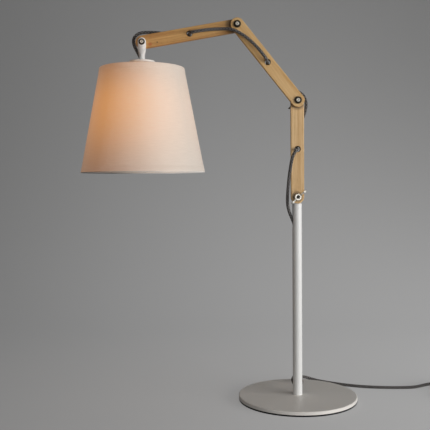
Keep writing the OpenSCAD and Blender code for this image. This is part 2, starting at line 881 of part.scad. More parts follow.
module lampholder_contacts() {
    contact_l = 9;
    contact_w = 5;
    color("goldenrod")
        on_stem() {
            translate([-contact_w / 2, -contact_w / 2, insert_bottom - contact_t])
                cube([contact_l, contact_w, contact_t]);
            translate([-contact_w / 2, -bulb_cap_d / 2, insert_bottom - contact_t])
                cube([contact_w, contact_w, contact_t]);
        }
}

module bulb_cap() {
    bead = 1;
    pitch = 3.6;
    top_ring = 3;
    color("silver")
        on_stem()
            difference() {
                union() {
                    translate([0, 0, bulb_cap_bottom])
                        cylinder(d = bulb_cap_d - 2 * bead, h = bulb_cap_l - top_ring);
                    for (z = [bulb_cap_bottom + pitch:pitch:bulb_cap_top - top_ring - bead])
                        translate([0, 0, z])
                            rotate_extrude()
                                translate([bulb_cap_d / 2 - bead, 0])
                                    circle(r = bead);
                    translate([0, 0, bulb_cap_top - top_ring])
                        cylinder(d1 = bulb_cap_d - 2 * bead, d2 = bulb_cap_d / 2, h = top_ring);
                }
                translate([0, 0, bulb_cap_bottom - past])
                    cylinder(d = bulb_cap_d - 4 * bead, h = bulb_cap_l / 2);
            }
}

module bulb_contact() {
    color("dimgray")
        on_stem()
            translate([0, 0, bulb_cap_top])
                cylinder(d1 = bulb_cap_d / 2, d2 = bulb_cap_d / 4, h = bulb_tip_l);
}

// A sphere with a neck that leaves it smoothly
module bulb_form(r, neck_r, rise) {
    lean = asin(r / norm([rise, neck_r])) - atan(neck_r / rise);
    sphere(r = r);
    translate([0, 0, r * sin(lean)])
        cylinder(r1 = r * cos(lean), r2 = neck_r, h = rise - r * sin(lean));
}

module bulb_glass() {
    neck_r = bulb_cap_d / 2 - 2.2;
    neck_in = 4;
    color("lightyellow", 0.6)
        on_stem()
            translate([0, 0, bulb_middle])
                difference() {
                    union() {
                        bulb_form(bulb_d / 2, neck_r, bulb_drop);
                        translate([0, 0, bulb_drop])
                            cylinder(r = neck_r, h = neck_in);
                    }
                    bulb_form(bulb_d / 2 - bulb_wall, neck_r - bulb_wall, bulb_drop);
                    translate([0, 0, bulb_drop - 0.01])
                        cylinder(r = neck_r - bulb_wall, h = neck_in + past);
                }
}

cord_sides = 8;

module cord_in_stem() {
    color("gray")
        tube_along(
            [for (z = [insert_bottom + insert_t / 2, skirt_top + 4, stem_end, shade_route[0][2]])
                [shade_route[0][0], shade_route[0][1], z]],
            cord_d, cord_sides
        );
}

module cord_shade_stretch() {
    color("gray")
        tube_along(trimmed(spline(shade_route, 2)), cord_d, cord_sides);
}

module cord_upper_stretch() {
    color("gray")
        tube_along(trimmed(spline(upper_route, 2)), cord_d, cord_sides);
}

module cord_middle_stretch() {
    color("gray")
        tube_along(trimmed(spline(middle_route, 2)), cord_d, cord_sides);
}

module cord_lower_stretch() {
    color("gray")
        tube_along(trimmed(spline(lower_route, 2)), cord_d, cord_sides);
}

module cord_in_pole() {
    color("gray")
        tube_along(trimmed(spline(pole_route, 2)), cord_d, cord_sides);
}

module mains_lead() {
    color("gray")
        tube_along(trimmed(spline(lead_route, 1)), cord_d, cord_sides);
}

module switch_lead() {
    color("gray")
        tube_along(trimmed(spline(switch_route, 1)), cord_d, cord_sides);
}

module lead_coil() {
    color("gray")
        tube_along(coil_path, cord_d, 6);
}

module plug_lead() {
    color("gray")
        tube_along(trimmed(spline(plug_route, 1)), cord_d, cord_sides);
}

module coil_tie() {
    inner = coil_radius(coil_turns - 0.5) - cord_r - 0.7;
    outer = coil_radius(0.5) + cord_r + 0.7;
    low = coil_low - cord_r - 0.2;
    high = coil_high + cord_r + 0.3;
    color("black")
        translate([coil_middle[0], coil_middle[1] + tie_w / 2, 0])
            rotate([90, 0, 0])
                linear_extrude(tie_w)
                    difference() {
                        translate([-outer - tie_t, low - tie_t])
                            square([outer - inner + 2 * tie_t, high - low + 2 * tie_t]);
                        translate([-outer, low])
                            square([outer - inner, high - low]);
                    }
}

// The switch is drawn round the middle of its cord line
switch_middle = [lead_end[0] + switch_l / 2 - 7, lead_end[1], lead_end[2]];
switch_low = floor_gap - switch_middle[2];
switch_high = switch_low + switch_h;
rocker_room_l = rocker_l + 2;
rocker_room_w = rocker_w + 0.6;
rocker_pin_z = switch_high - switch_wall - rocker_pin_d / 2 - 0.6;

module switch_outline(inset) {
    end_r = switch_w / 2 - 4;
    hull_l = switch_l / 2 - end_r;
    for (side = [-1, 1])
        translate([side * hull_l, 0])
            circle(r = end_r - inset);
    square([2 * hull_l, 2 * (end_r - inset)], center = true);
    square([switch_l / 2, switch_w - 2 * inset], center = true);
}

module cord_cut() {
    rotate([0, 90, 0])
        cylinder(d = cord_d + 2 * cord_gap, h = switch_l + 2 * past, center = true);
}

module switch_tray() {
    color("black")
        translate(switch_middle)
            difference() {
                translate([0, 0, switch_low])
                    linear_extrude(-switch_low)
                        switch_outline(0);
                translate([0, 0, switch_low + switch_wall])
                    linear_extrude(-switch_low)
                        switch_outline(switch_wall);
                cord_cut();
            }
}

module switch_cover() {
    ear_t = 2;
    ear_w = rocker_pin_d + 3;
    ear_y = rocker_room_w / 2;
    color("black")
        translate(switch_middle)
            difference() {
                union() {
                    difference() {
                        linear_extrude(switch_high)
                            switch_outline(0);
                        translate([0, 0, -past])
                            linear_extrude(switch_high - switch_wall + past)
                                switch_outline(switch_wall);
                        translate([-rocker_room_l / 2, -rocker_room_w / 2, 0])
                            cube([rocker_room_l, rocker_room_w, switch_high + past]);
                    }
                    for (y = [ear_y, -ear_y - ear_t])
                        translate([-ear_w / 2, y, rocker_pin_z - ear_w / 2])
                            cube([ear_w, ear_t, switch_high - switch_wall / 2 - rocker_pin_z + ear_w / 2]);
                }
                cord_cut();
                translate([0, 0, rocker_pin_z])
                    rotate([90, 0, 0])
                        cylinder(
                            d = rocker_pin_d + 2 * fit, h = 2 * (ear_y + ear_t + past), center = true
                        );
            }
}

module switch_rocker() {
    rise = switch_high - rocker_pin_z + 1.2;
    valley = 0.8;
    depth = rocker_pin_d / 2 + 0.8;
    pin_l = rocker_room_w + 3;
    color("black")
        translate(switch_middle + [0, 0, rocker_pin_z])
            rotate([0, rocker_tilt, 0]) {
                flat(rocker_w / 2, rocker_w)
                    polygon([
                        [-rocker_l / 2, -0.4], [-depth, -depth], [depth, -depth], [rocker_l / 2, -0.4],
                        [rocker_l / 2, rise], [0, rise - valley], [-rocker_l / 2, rise]
                    ]);
                rotate([90, 0, 0])
                    cylinder(d = rocker_pin_d, h = pin_l, center = true);
            }
}

plug_face = plug_start[1] - plug_l;
plug_z = plug_start[2];
plug_tail_l = 10;

module plug_body() {
    shoulder = 10;
    boot_d = 11;
    boot_tip_d = 7.6;
    corner = 2;
    color("black")
        translate([plug_start[0], plug_start[1], plug_z])
            rotate([90, 0, 0])
                difference() {
                    union() {
                        hull() {
                            for (x = [-1, 1], y = [-1, 1])
                                translate([x * (plug_w / 2 - corner), y * (plug_t / 2 - corner), shoulder])
                                    cylinder(r = corner, h = plug_l - shoulder, $fn = 32);
                            translate([0, 0, -plug_tail_l])
                                cylinder(d = boot_d, h = 1, $fn = 32);
                        }
                        translate([0, 0, -plug_boot_l])
                            cylinder(d1 = boot_tip_d, d2 = boot_d, h = plug_boot_l);
                    }
                    translate([0, 0, -plug_boot_l - past])
                        cylinder(d = cord_d + 2 * cord_gap, h = plug_boot_l + past);
                    for (side = [-1, 1])
                        translate([side * plug_pin_gap / 2, 0, plug_l - plug_tail_l])
                            cylinder(d = plug_pin_d + 2 * fit, h = plug_tail_l + past);
                }
}

module plug_pins() {
    color("silver")
        for (side = [-1, 1])
            translate([plug_start[0] + side * plug_pin_gap / 2, plug_face + plug_tail_l, plug_z])
                rotate([90, 0, 0])
                    cylinder(d = plug_pin_d, h = plug_pin_l + plug_tail_l);
}

base_disc();
base_pad();
base_screw();
pole();
pole_foot_plug();
pole_tongue();
tongue_washer();
lower_pivot_bolt();
strain_relief();
lower_arm();
lower_arm_washers();
lower_wing_nut();
middle_arm();
middle_arm_washers();
middle_pivot_bolts();
elbow_wing_nut();
upper_arm();
upper_arm_washers();
upper_wing_nut();
shade_stem();
shade_pivot_bolt();
shade_wing_nut();
canopy();
shade_spider();
shade_bottom_ring();
shade_skin();
stem_nut();
lampholder_cap();
lampholder_skirt();
lampholder_insert();
lampholder_contacts();
bulb_cap();
bulb_contact();
bulb_glass();
cord_in_stem();
cord_shade_stretch();
cord_upper_stretch();
cord_middle_stretch();
cord_lower_stretch();
cord_in_pole();
mains_lead();
switch_tray();
switch_cover();
switch_rocker();
switch_lead();
lead_coil();
coil_tie();
plug_lead();
plug_body();
plug_pins();
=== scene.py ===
# %% [markdown]
# # A table lamp with three swing arms
# A white steel disc and pole carry three wooden arms, clamped by wing nuts, and a fabric shade hangs from
# the last one. The rigid pieces are already packed as solids, in metres, with the origin under the middle
# of the disc and the arms reaching towards -X. This lesson dresses them: soft pieces become surfaces worked
# out as arrays, every finish becomes nodes, and a camera and lamps stand where the photographer's did.

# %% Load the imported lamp
import json
import bpy
import numpy as np
from mathutils import Matrix, Vector


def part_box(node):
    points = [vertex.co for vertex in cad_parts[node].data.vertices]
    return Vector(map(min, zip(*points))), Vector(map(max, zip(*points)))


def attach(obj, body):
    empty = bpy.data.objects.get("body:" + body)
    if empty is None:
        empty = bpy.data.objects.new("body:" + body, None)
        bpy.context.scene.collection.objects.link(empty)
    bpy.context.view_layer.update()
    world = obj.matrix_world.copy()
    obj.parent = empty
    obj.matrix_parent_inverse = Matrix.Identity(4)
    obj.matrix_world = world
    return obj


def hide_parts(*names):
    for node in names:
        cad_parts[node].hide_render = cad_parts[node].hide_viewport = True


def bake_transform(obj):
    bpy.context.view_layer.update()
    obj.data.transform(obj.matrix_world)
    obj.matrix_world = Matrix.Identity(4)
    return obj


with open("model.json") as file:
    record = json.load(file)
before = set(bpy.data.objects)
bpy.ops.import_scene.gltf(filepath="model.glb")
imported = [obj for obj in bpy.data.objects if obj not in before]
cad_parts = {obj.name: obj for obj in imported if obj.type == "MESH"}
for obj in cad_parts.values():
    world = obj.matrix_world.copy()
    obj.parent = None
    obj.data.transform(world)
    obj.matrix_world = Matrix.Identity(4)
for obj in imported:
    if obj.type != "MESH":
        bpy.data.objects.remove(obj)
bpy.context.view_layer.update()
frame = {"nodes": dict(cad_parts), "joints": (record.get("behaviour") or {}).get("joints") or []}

# %% [markdown]
# ## The camera
# A photograph can be undone: the ellipse of the disc, the four pivots and the corners of the shade fix
# where the camera stood. The fit gave a focal length of 731.75 pixels in a picture 430 pixels wide, a stand
# about 1.2 m in front of the lamp and left of the pole, and a tilt of a little over two degrees. The three
# directions of the camera are written as the columns of its matrix, which is clearer than three angles.

# %% Camera
FOCAL_PX, IMAGE_PX, SENSOR_MM = 731.75, 430, 36.0
CAMERA_AT = (-0.1380, -1.2337, 0.3628)
YAW, PITCH, ROLL = np.radians([-0.019, 2.244, -0.434])


def linked(name, data):
    """A new object in the scene."""
    made = bpy.data.objects.new(name, data)
    bpy.context.collection.objects.link(made)
    return made


ahead = np.array([np.sin(YAW), np.cos(YAW), 0.0])
side = np.array([np.cos(YAW), -np.sin(YAW), 0.0])
forward = np.cos(PITCH) * ahead - np.array([0, 0, np.sin(PITCH)])
upward = np.sin(PITCH) * ahead + np.array([0, 0, np.cos(PITCH)])
right = np.cos(ROLL) * side + np.sin(ROLL) * upward
above = -np.sin(ROLL) * side + np.cos(ROLL) * upward

lens = bpy.data.cameras.new("photo_camera")
lens.sensor_width = SENSOR_MM
lens.lens = FOCAL_PX / IMAGE_PX * SENSOR_MM
camera = linked("photo_camera", lens)
turn = Matrix(np.column_stack([right, above, -forward]).tolist()).to_4x4()
camera.matrix_world = Matrix.Translation(CAMERA_AT) @ turn
bpy.context.scene.camera = camera
bpy.context.scene.view_settings.view_transform = "Standard"
print("lens: %.2f mm" % lens.lens)

# %% [markdown]
# ## Surfaces on a grid
# Most new pieces here are a grid of points bent into shape: rows along the piece and columns round it. One
# function turns any such grid into a mesh. It sews the last row or column to the first where the shape
# closes, caps open ends, and turns the faces outwards by the sign of the volume that they enclose. The grid
# also carries its own UV map of real lengths or turns, so that a weave or a braid keeps its size and
# follows the piece when it bends.

# %% Grid to mesh
def enclosed(points, quads):
    """Six times the signed volume: over both triangles of each quad, the sum of the first corner dotted with
    the cross of the other two."""
    a, b, c, d = (points[quads[:, k]] for k in range(4))
    return np.einsum("ij,ij->", a, np.cross(b, c)) + np.einsum("ij,ij->", a, np.cross(c, d))


def smooth_piece(name, points, faces, finish):
    """A mesh of points and faces, shaded smooth, as a piece of the lamp."""
    mesh = bpy.data.meshes.new(name)
    mesh.from_pydata(points.tolist(), [], faces)
    mesh.polygons.foreach_set("use_smooth", np.ones(len(mesh.polygons), bool))
    mesh.materials.append(finish)
    return linked(name, mesh)


def grid_piece(name, points, uv, finish, loop_rows=False, loop_columns=False, caps=False, sharp=40):
    """A piece from a grid (rows, columns, xyz). A cell's quad joins its row and column to the next ones, and
    the uv has one more row or column for each loop."""
    rows, columns = points.shape[:2]
    i, j = np.mgrid[:rows - 1 + loop_rows, :columns - 1 + loop_columns]
    row, next_row, across = i * columns, (i + 1) % rows * columns, (j + 1) % columns
    quads = np.stack([row + j, row + across, next_row + across, next_row + j], -1).reshape(-1, 4)
    corners = np.stack([uv[:-1, :-1], uv[:-1, 1:], uv[1:, 1:], uv[1:, :-1]], 2).reshape(-1, 4, 2)
    flat, first = points.reshape(-1, 3), np.arange(columns)[::-1]
    if enclosed(flat, quads) < 0:
        quads, corners, first = quads[:, ::-1], corners[:, ::-1], first[::-1]
    faces, loops = quads.tolist(), corners.reshape(-1, 2)
    if caps:
        last = first[::-1]
        faces += [first.tolist(), ((rows - 1) * columns + last).tolist()]
        loops = np.concatenate([loops, uv[0, first], uv[-1, last]])
    piece = smooth_piece(name, flat, faces, finish)
    piece.data.uv_layers.new(name="UVMap").data.foreach_set("uv", loops.ravel())
    piece.data.set_sharp_from_angle(angle=np.radians(sharp))
    return piece


print("faces of the solids:", sum(len(node.data.polygons) for node in frame["nodes"].values()))

# %% [markdown]
# ## Nodes in a few words
# Every finish is a small network of nodes. They could be placed by hand in the shader editor, but helpers
# keep them readable as text. One adds a node and fills its sockets with numbers or links. The rest are
# single nodes that come up often, put in the tree that their first link comes from: sums and mixes here.

# %% Node helpers
def fill(made, sockets):
    """Sets a node's sockets to numbers and colours, or links them to other nodes' outputs."""
    for key, value in sockets.items():
        if isinstance(value, bpy.types.NodeSocket):
            made.id_data.links.new(value, made.inputs[key])
        else:
            made.inputs[key].default_value = value
    return made


def add(tree, kind, sockets, **options):
    """One new node. Options set its properties."""
    made = tree.nodes.new("ShaderNode" + kind)
    for key, value in options.items():
        setattr(made, key, value)
    return fill(made, sockets)


def tree_of(*values):
    """The tree that the first linked value comes from."""
    return next(value.id_data for value in values if isinstance(value, bpy.types.NodeSocket))


def calc(operation, *values):
    """The result of one sum on values."""
    return add(tree_of(*values), "Math", dict(enumerate(values)), operation=operation).outputs[0]


def calc_vector(operation, *vectors):
    """The result of one sum on vectors, which is a vector or, for a length or a dot product, a value."""
    made = add(tree_of(*vectors), "VectorMath", dict(enumerate(vectors)), operation=operation)
    return made.outputs["Value" if operation in ("LENGTH", "DOT_PRODUCT") else "Vector"]


def chosen(share, a, b):
    """Value a where the share is 0 and value b where it is 1."""
    return add(tree_of(share), "Mix", {0: share, 2: a, 3: b}, data_type="FLOAT").outputs[0]


def mixed(share, a, b, how="MIX"):
    """Colour a where the share is 0 and colour b where it is 1. A typed colour is red, green and blue."""
    a, b = ((*colour, 1.0) if isinstance(colour, tuple) else colour for colour in (a, b))
    sockets = {0: share, 6: a, 7: b}
    return add(tree_of(share, a, b), "Mix", sockets, data_type="RGBA", blend_type=how).outputs[2]


print("finishes on the solids:", len(bpy.data.materials))

# %% [markdown]
# A finish also asks where a point is, on the piece at rest or on its UV map, and what varies there. Places
# in metres rather than shares of the piece keep a grain the same size on every piece.

# %% Place and pattern helpers
def spread(value, low, high, to_low=0.0, to_high=1.0):
    """The value stretched from one range to another and held there."""
    return add(tree_of(value), "MapRange", {0: value, 1: low, 2: high, 3: to_low, 4: to_high}).outputs[0]


def noise(where, scale, detail, **extra):
    """Soft random values from 0 to 1, with the scale in lumps per metre."""
    sockets = {"Vector": where, "Scale": scale, "Detail": detail, **extra}
    return add(tree_of(where), "TexNoise", sockets).outputs[0]


def scaled(where, scale):
    """A place with each axis times its own scale, which draws out whatever is read there."""
    return add(tree_of(where), "Mapping", {"Vector": where, "Scale": scale}).outputs[0]


def split(where):
    """The x, y and z of a place."""
    return add(tree_of(where), "SeparateXYZ", {0: where}).outputs


def place(tree):
    """Where a point is on the piece at rest, in metres."""
    return add(tree, "TexCoord", {}).outputs["Object"]


def unrolled(tree):
    """Where a point is on the piece's UV map."""
    return add(tree, "UVMap", {}, uv_map="UVMap").outputs[0]


def way_from(tree, centre, axes):
    """The way from a centre to a point, along the axes that are 1: (place - centre) times axes."""
    return calc_vector("MULTIPLY", calc_vector("SUBTRACT", place(tree), centre), axes)


# %% [markdown]
# ## Materials and groups
# A finish that several pieces share is a node group, built once, which gives out a tone, a roughness or a
# height. The shader itself stays in the material. Low relief such as thread or orange peel is a bump: it
# only tilts the light, which is enough when it is finer than a pixel.

# %% Material and group helpers
def give(made, **values):
    """Sets or links a node's sockets, named with an underscore for a space."""
    fill(made, {label.replace("_", " "): value for label, value in values.items()})


def finish_of(name, **values):
    """A new material with its tree and its shader, and constant values on the shader's own sockets."""
    made = bpy.data.materials.new(name)
    made.use_nodes = True
    shader = made.node_tree.nodes["Principled BSDF"]
    give(shader, **values)
    return made, made.node_tree, shader


def bump(shader, height, distance):
    """Small relief: the height times the distance, in metres, tilts the light."""
    made = add(shader.id_data, "Bump", {"Height": height, "Distance": distance, "Strength": 1.0})
    give(shader, Normal=made.outputs[0])


def group(name, inputs, outputs):
    """An empty node group. An input is a kind of socket or a starting number. Returns the group, what it is
    given and its result."""
    tree = bpy.data.node_groups.new(name, "ShaderNodeTree")
    for label, start in inputs.items():
        kind = start if isinstance(start, str) else "Float"
        made = tree.interface.new_socket(name=label, in_out="INPUT", socket_type="NodeSocket" + kind)
        if kind == "Float":
            made.default_value = start
    for label in outputs:
        kind = "Color" if label == "Color" else "Float"
        tree.interface.new_socket(name=label, in_out="OUTPUT", socket_type="NodeSocket" + kind)
    return tree, tree.nodes.new("NodeGroupInput").outputs, tree.nodes.new("NodeGroupOutput")


def use(shared, **sockets):
    """A node group placed where its linked values come from, with its own values."""
    return add(tree_of(*sockets.values()), "Group", sockets, node_tree=shared).outputs


print("node groups so far:", len(bpy.data.node_groups))

# %% [markdown]
# ## The braided cord
# The lamp's flex has a jacket of cotton yarn plaited from two sets of strands that wind opposite ways. Seen
# on the unrolled surface the two sets are two slanted counts. Every whole step of a count is the next
# strand, so the cell of the plait is the pair of whole parts, and the strand on top changes from one cell
# to the next like a chessboard. Every fourth strand is pale, which gives the salt and pepper look. A
# photograph of the braid would do the same, but a formula has no seams and any length.

# %% Braid finish
CORD_D, STRANDS, LAY, PALE_EVERY = 0.0052, 12, 0.0163, 4.0
DARK_YARN, PALE_YARN = (0.022, 0.020, 0.020), (0.48, 0.45, 0.43)
BRAID_GAP_SHADE, FUZZY_YARN = (0.008, 0.008, 0.008), (0.10, 0.095, 0.09)
BRAID_RELIEF, FUZZ_SCALE = 0.0005, 2500.0


def arch(count):
    """The round back of a thread: the sine of pi times the part of a count past its whole number."""
    return calc("SINE", calc("MULTIPLY", calc("FRACT", count), np.pi))


def chequer(a, b):
    """0 and 1 like a chessboard: the whole parts of two counts, added, and what is left over by 2."""
    whole = calc("ADD", calc("FLOOR", a), calc("FLOOR", b))
    return calc("FLOORED_MODULO", whole, 2.0)


braid_group, given, result = group("Plaited jacket", {"Vector": "Vector", "Strands": STRANDS, "Lay": LAY},
                                   ["Pale", "Height", "Fuzz"])
along, round_it, _ = split(given["Vector"])
turns = calc("DIVIDE", along, given["Lay"])
counts = [calc("MULTIPLY", calc(winding, round_it, turns), given["Strands"])
          for winding in ("ADD", "SUBTRACT")]
backs = [calc("SQRT", arch(count)) for count in counts]
fourths = [calc("FLOORED_MODULO", calc("FLOOR", count), PALE_EVERY) for count in counts]
pales = [calc("LESS_THAN", fourth, 0.5) for fourth in fourths]
give(result, Pale=chosen(chequer(*counts), *pales),
     Height=calc("MULTIPLY", *backs), Fuzz=noise(given["Vector"], FUZZ_SCALE, 2.0))

cord_finish, tree, shader = finish_of("cord_braid", Roughness=0.85, Sheen_Weight=0.1, Sheen_Roughness=0.5)
plait = use(braid_group, Vector=unrolled(tree))
yarn = mixed(plait["Pale"], DARK_YARN, PALE_YARN)
# painted shade: darker where the strands dip between the backs of the threads
yarn = mixed(spread(plait["Height"], 0.1, 0.7, 0.75, 0.0), yarn, BRAID_GAP_SHADE)
yarn = mixed(spread(plait["Fuzz"], 0.35, 0.75, 0.0, 0.25), yarn, FUZZY_YARN)
give(shader, Base_Color=yarn)
bump(shader, plait["Height"], BRAID_RELIEF)
print("braid:", len(braid_group.nodes), "nodes in the group and", len(tree.nodes), "in the finish")

# %% [markdown]
# ## Tubes along a route
# A cord is a circle carried along a smooth curve. The curve is a cubic B-spline on the same points that the
# solids use, because it passes near its points without kinks. A bevelled curve object would also give a
# tube, but not the UVs that the braid needs. The circle must not spin as it travels, or the braid would
# twist: each ring's frame is turned by the running sum of the small angles between one frame and the next,
# which needs no loop over the rings.

# %% Route and tube functions
MM = 0.001


def smooth_route(points, steps):
    """A uniform cubic B-spline: each span weighs four neighbours by the cubic basis. The points past the
    ends are mirrored."""
    p = np.asarray(points, float)
    p = np.vstack([2 * p[0] - p[1], p, 2 * p[-1] - p[-2]])
    t = (np.arange(steps) / steps)[None, :, None]
    a, b, c, d = p[:-3, None], p[1:-2, None], p[2:-1, None], p[3:, None]
    curve = ((1 - t) ** 3 * a + (3 * t**3 - 6 * t**2 + 4) * b
             + (-3 * t**3 + 3 * t**2 + 3 * t + 1) * c + t**3 * d) / 6
    return np.vstack([curve.reshape(-1, 3), p[-2]])


def unit(v):
    """Vectors divided by their length."""
    return v / np.linalg.norm(v, axis=-1, keepdims=True)


def run_of(path):
    """Distance along a path at each of its points: the running sum of its steps."""
    return np.concatenate([[0], np.cumsum(np.linalg.norm(np.diff(path, axis=0), axis=1))])


def rings_along(path, radius, sides):
    """Circles square to the path: centre + radius (cos a u + sin a w), with u and w carried without spin."""
    along = unit(np.gradient(path, axis=0))
    u = unit(np.cross(along, np.eye(3)[np.abs(along).argmin(1)]))
    w = np.cross(along, u)
    before, after = along[:-1], along[1:]
    lean = (u[:-1] * after).sum(1) / (1 + (before * after).sum(1))
    carried = u[:-1] - lean[:, None] * (before + after)
    step = np.arctan2((carried * w[1:]).sum(1), (carried * u[1:]).sum(1))
    angle = np.concatenate([[0], np.cumsum(step)])[:, None] + np.linspace(0, 2 * np.pi, sides, False)
    outward = np.cos(angle)[..., None] * u[:, None] + np.sin(angle)[..., None] * w[:, None]
    return path[:, None] + radius * outward


def trimmed(path, gap=0.00015):
    """A path shorter by a gap at both ends, where the next stretch begins."""
    short = path.copy()
    short[0] += gap * unit(path[1] - path[0])
    short[-1] -= gap * unit(path[-1] - path[-2])
    return short


def cord_tube(name, path, sides, *nodes):
    """The flex along a path in place of its solids, with UVs of metres along it and turns round it."""
    path = trimmed(path)
    v, h = np.meshgrid(np.linspace(0, 1, sides + 1), run_of(path))
    piece = grid_piece(name, rings_along(path, CORD_D / 2, sides), np.stack([h, v], -1), cord_finish,
                       loop_columns=True, caps=True, sharp=60)
    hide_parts(*nodes)
    print(name, "%.0f mm" % (run_of(path)[-1] / MM))
    return piece


print("round the cord: %.1f mm" % (np.pi * CORD_D / MM))

# %% [markdown]
# ## The cord through the lamp
# From the lampholder the cord leaves the stem by a side hole, loops over the shade's pivot, dives through
# the hole in each arm in turn, and enters the pole through a slot. Each stretch passes one pivot, so it has
# to bend when that pivot turns. Each row of the table names the near and far bodies and the start and end of
# a blend between them, but here each stretch is built only as a tube at rest. The routes are in millimetres
# from the pivot that they pass.

# %% Cord stretches
LOWEST, ELBOW, TOP_ELBOW, SHADE_PIVOT = (
    np.array(next(joint["pos_m"] for joint in frame["joints"] if joint["name"] == name))
    for name in ("lower_arm_tilt", "middle_arm_tilt", "upper_arm_tilt", "shade_tilt"))

SHADE_ROUTE = [
    (0, -12.4, -39.8), (0, -12.4, -35.3), (-0.8, -12, -30.4), (-3.2, -10.6, -25.2), (-6, -9, -19.6),
    (-9.2, -7, -13.6), (-12.6, -4.4, -7), (-15.2, -1.4, 0.2), (-15, 0.8, 7.8), (-10.6, 1.7, 14.2),
    (-2.6, 1.8, 17.8), (7.4, 1.8, 18.4), (18.4, 1.8, 18), (29.4, 2.2, 17), (40.4, 4.2, 15.8),
    (51.4, 7.4, 14.8), (61.4, 10.2, 14.1), (70.4, 10.6, 13.5), (76.8, 6, 13.2), (78.9, -0.6, 13.2),
    (78.9, -6.2, 13.2)]
UPPER_ROUTE = [
    (-78.9, -6.2, -13.2), (-78.9, -11, -13.2), (-77.2, -17.4, -13.1), (-72.4, -22, -12.7),
    (-66, -23.4, -12), (-58.4, -21.8, -10.6), (-49.4, -18.6, -8.9), (-40.4, -16.2, -7.6),
    (-30.9, -15, -6.9), (-21.4, -16.6, -7.1), (-12.4, -21, -8.2), (-3.9, -25, -11.2), (5.1, -26, -16.2),
    (14.6, -25.6, -22.6), (23.6, -25.8, -30.3), (32.1, -27.4, -39.3), (39.6, -28.7, -48.4),
    (44.5, -29, -55.3), (47.9, -26, -59.9), (49.8, -20.4, -62.6), (49.8, -15.4, -62.6)]
MIDDLE_ROUTE = [
    (-49.8, -15.4, 62.6), (-49.8, -11, 62.6), (-48.8, -5.2, 61.4), (-45, -0.2, 56.6), (-38.5, 1, 48.6),
    (-31, 0, 40), (-22, -1.6, 31.5), (-12, -2, 24.2), (-2, -0.2, 18.4), (8, 1.6, 14.2), (15, 1.8, 6),
    (16.5, 1.8, -4.2), (15.2, 1.8, -14.4), (12.2, 2.2, -24), (8.2, 3.2, -33.4), (4.4, 5, -43),
    (1.6, 7.6, -52.5), (0.3, 10, -62.5), (0, 9.6, -71.2), (0, 4.6, -78), (0, -2, -80), (0, -6.2, -80)]
LOWER_ROUTE = [
    (0, -6.2, 80), (0, -11, 80), (-0.6, -17, 79.7), (-3.4, -21.6, 77.2), (-7.2, -23, 72.2),
    (-10, -22.2, 65.2), (-11.6, -19.8, 56.6), (-12.8, -17, 47.4), (-14, -14.2, 37.8), (-15, -11.8, 27.8),
    (-15.7, -9.8, 17.8), (-16.3, -8, 7.8), (-16.8, -6.4, -2.2), (-16.5, -4.8, -12.2), (-14.6, -2.9, -21.7),
    (-11.5, -1.2, -30.2), (-7.8, -0.2, -38.2), (-4.6, 0, -46.4), (-2.6, 0, -55), (-1.5, 0, -64)]

stretches = [
    ("shade_cord", "cord_shade_stretch", "upper_arm", "shade_head",
     SHADE_PIVOT, SHADE_ROUTE, (18, 0, 16), (-10, 0, -12)),
    ("upper_cord", "cord_upper_stretch", "middle_arm", "upper_arm",
     TOP_ELBOW, UPPER_ROUTE, (20, 0, -26), (-24, 0, -6)),
    ("middle_cord", "cord_middle_stretch", "lower_arm", "middle_arm",
     ELBOW, MIDDLE_ROUTE, (12, 0, -20), (-16, 0, 26)),
    ("lower_cord", "cord_lower_stretch", "base", "lower_arm",
     LOWEST, LOWER_ROUTE, (-15, 0, -24), (-14, 0, 30)),
]
for name, node, near, far, pivot, route, start, end in stretches:
    piece = cord_tube(name, smooth_route(pivot + MM * np.array(route), 4), 20, node)
    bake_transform(piece)

# %% [markdown]
# The cord also runs inside the stem and down the pole. It shows at the slot in the pole and where the
# strain relief holds it, so it is the same tube. Neither stretch bends, so each rides on one body.

# %% Cord in the stem and in the pole
EXIT, STEM_Y = np.array([0, 0, 0.030]), -0.0124
POLE_START = [(-1.5, 0, -64), (-0.6, 0, -82), (0, 0, -104)]
POLE_END = [
    (0, 0, 170), (0, 0, 130), (0, 0, 90), (0, -0.8, 60), (0, -2.2, 43), (0, -3.2, 30), (0, -3.6, 20.5),
    (0, -3.8, 12.8), (0, -2.4, 6.2), (0, 2.3, 1.4), (0, 8.8, -0.2), (0, 15.5, 0), (0, 21, 0), (0, 26.5, 0),
    (0, 32, 0)]
STEM_LEVELS = (-61.3, -54, -50, -46, -43, -39.8)

pole_route = np.vstack([LOWEST + MM * np.array(POLE_START), EXIT + MM * np.array(POLE_END)])
stem_route = SHADE_PIVOT + np.array([(0, STEM_Y, MM * level) for level in STEM_LEVELS])
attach(cord_tube("pole_cord", smooth_route(pole_route, 4), 16, "cord_in_pole"), "base")
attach(cord_tube("stem_cord", smooth_route(stem_route, 4), 16, "cord_in_stem"), "shade_head")

# %% [markdown]
# ## The mains lead
# A lamp like this has about 1.8 m of lead. It leaves the foot of the pole at the back through a strain
# relief, drops over the edge of the disc and runs along the table to a switch. It rests on the table by its
# own weight, so its route is given point by point, in millimetres from the middle of the disc, and no
# simulation is needed.

# %% Lead to the switch
LEAD_ROUTE = [
    (0, 32, 30), (0, 38, 30), (0.7, 44.5, 29.2), (2.4, 53, 25.8), (4.6, 62, 20), (7, 71, 14.6),
    (9.6, 80, 11.7), (12.6, 90, 11.2), (16.8, 98.2, 11.2), (22.6, 104.4, 10.6), (30, 107.6, 8.2),
    (39, 107, 5.2), (49, 102.6, 3.4), (61, 95, 2.9), (77, 84.5, 2.9), (94, 74.5, 2.9), (114, 65.5, 2.9),
    (138, 58.6, 2.9), (165, 55, 2.9), (192, 54, 2.9), (212, 54, 3.1), (225, 54, 5.6), (235.5, 54, 8.4),
    (243, 54, 9.2), (249.5, 54, 9.2), (256, 54, 9.2)]


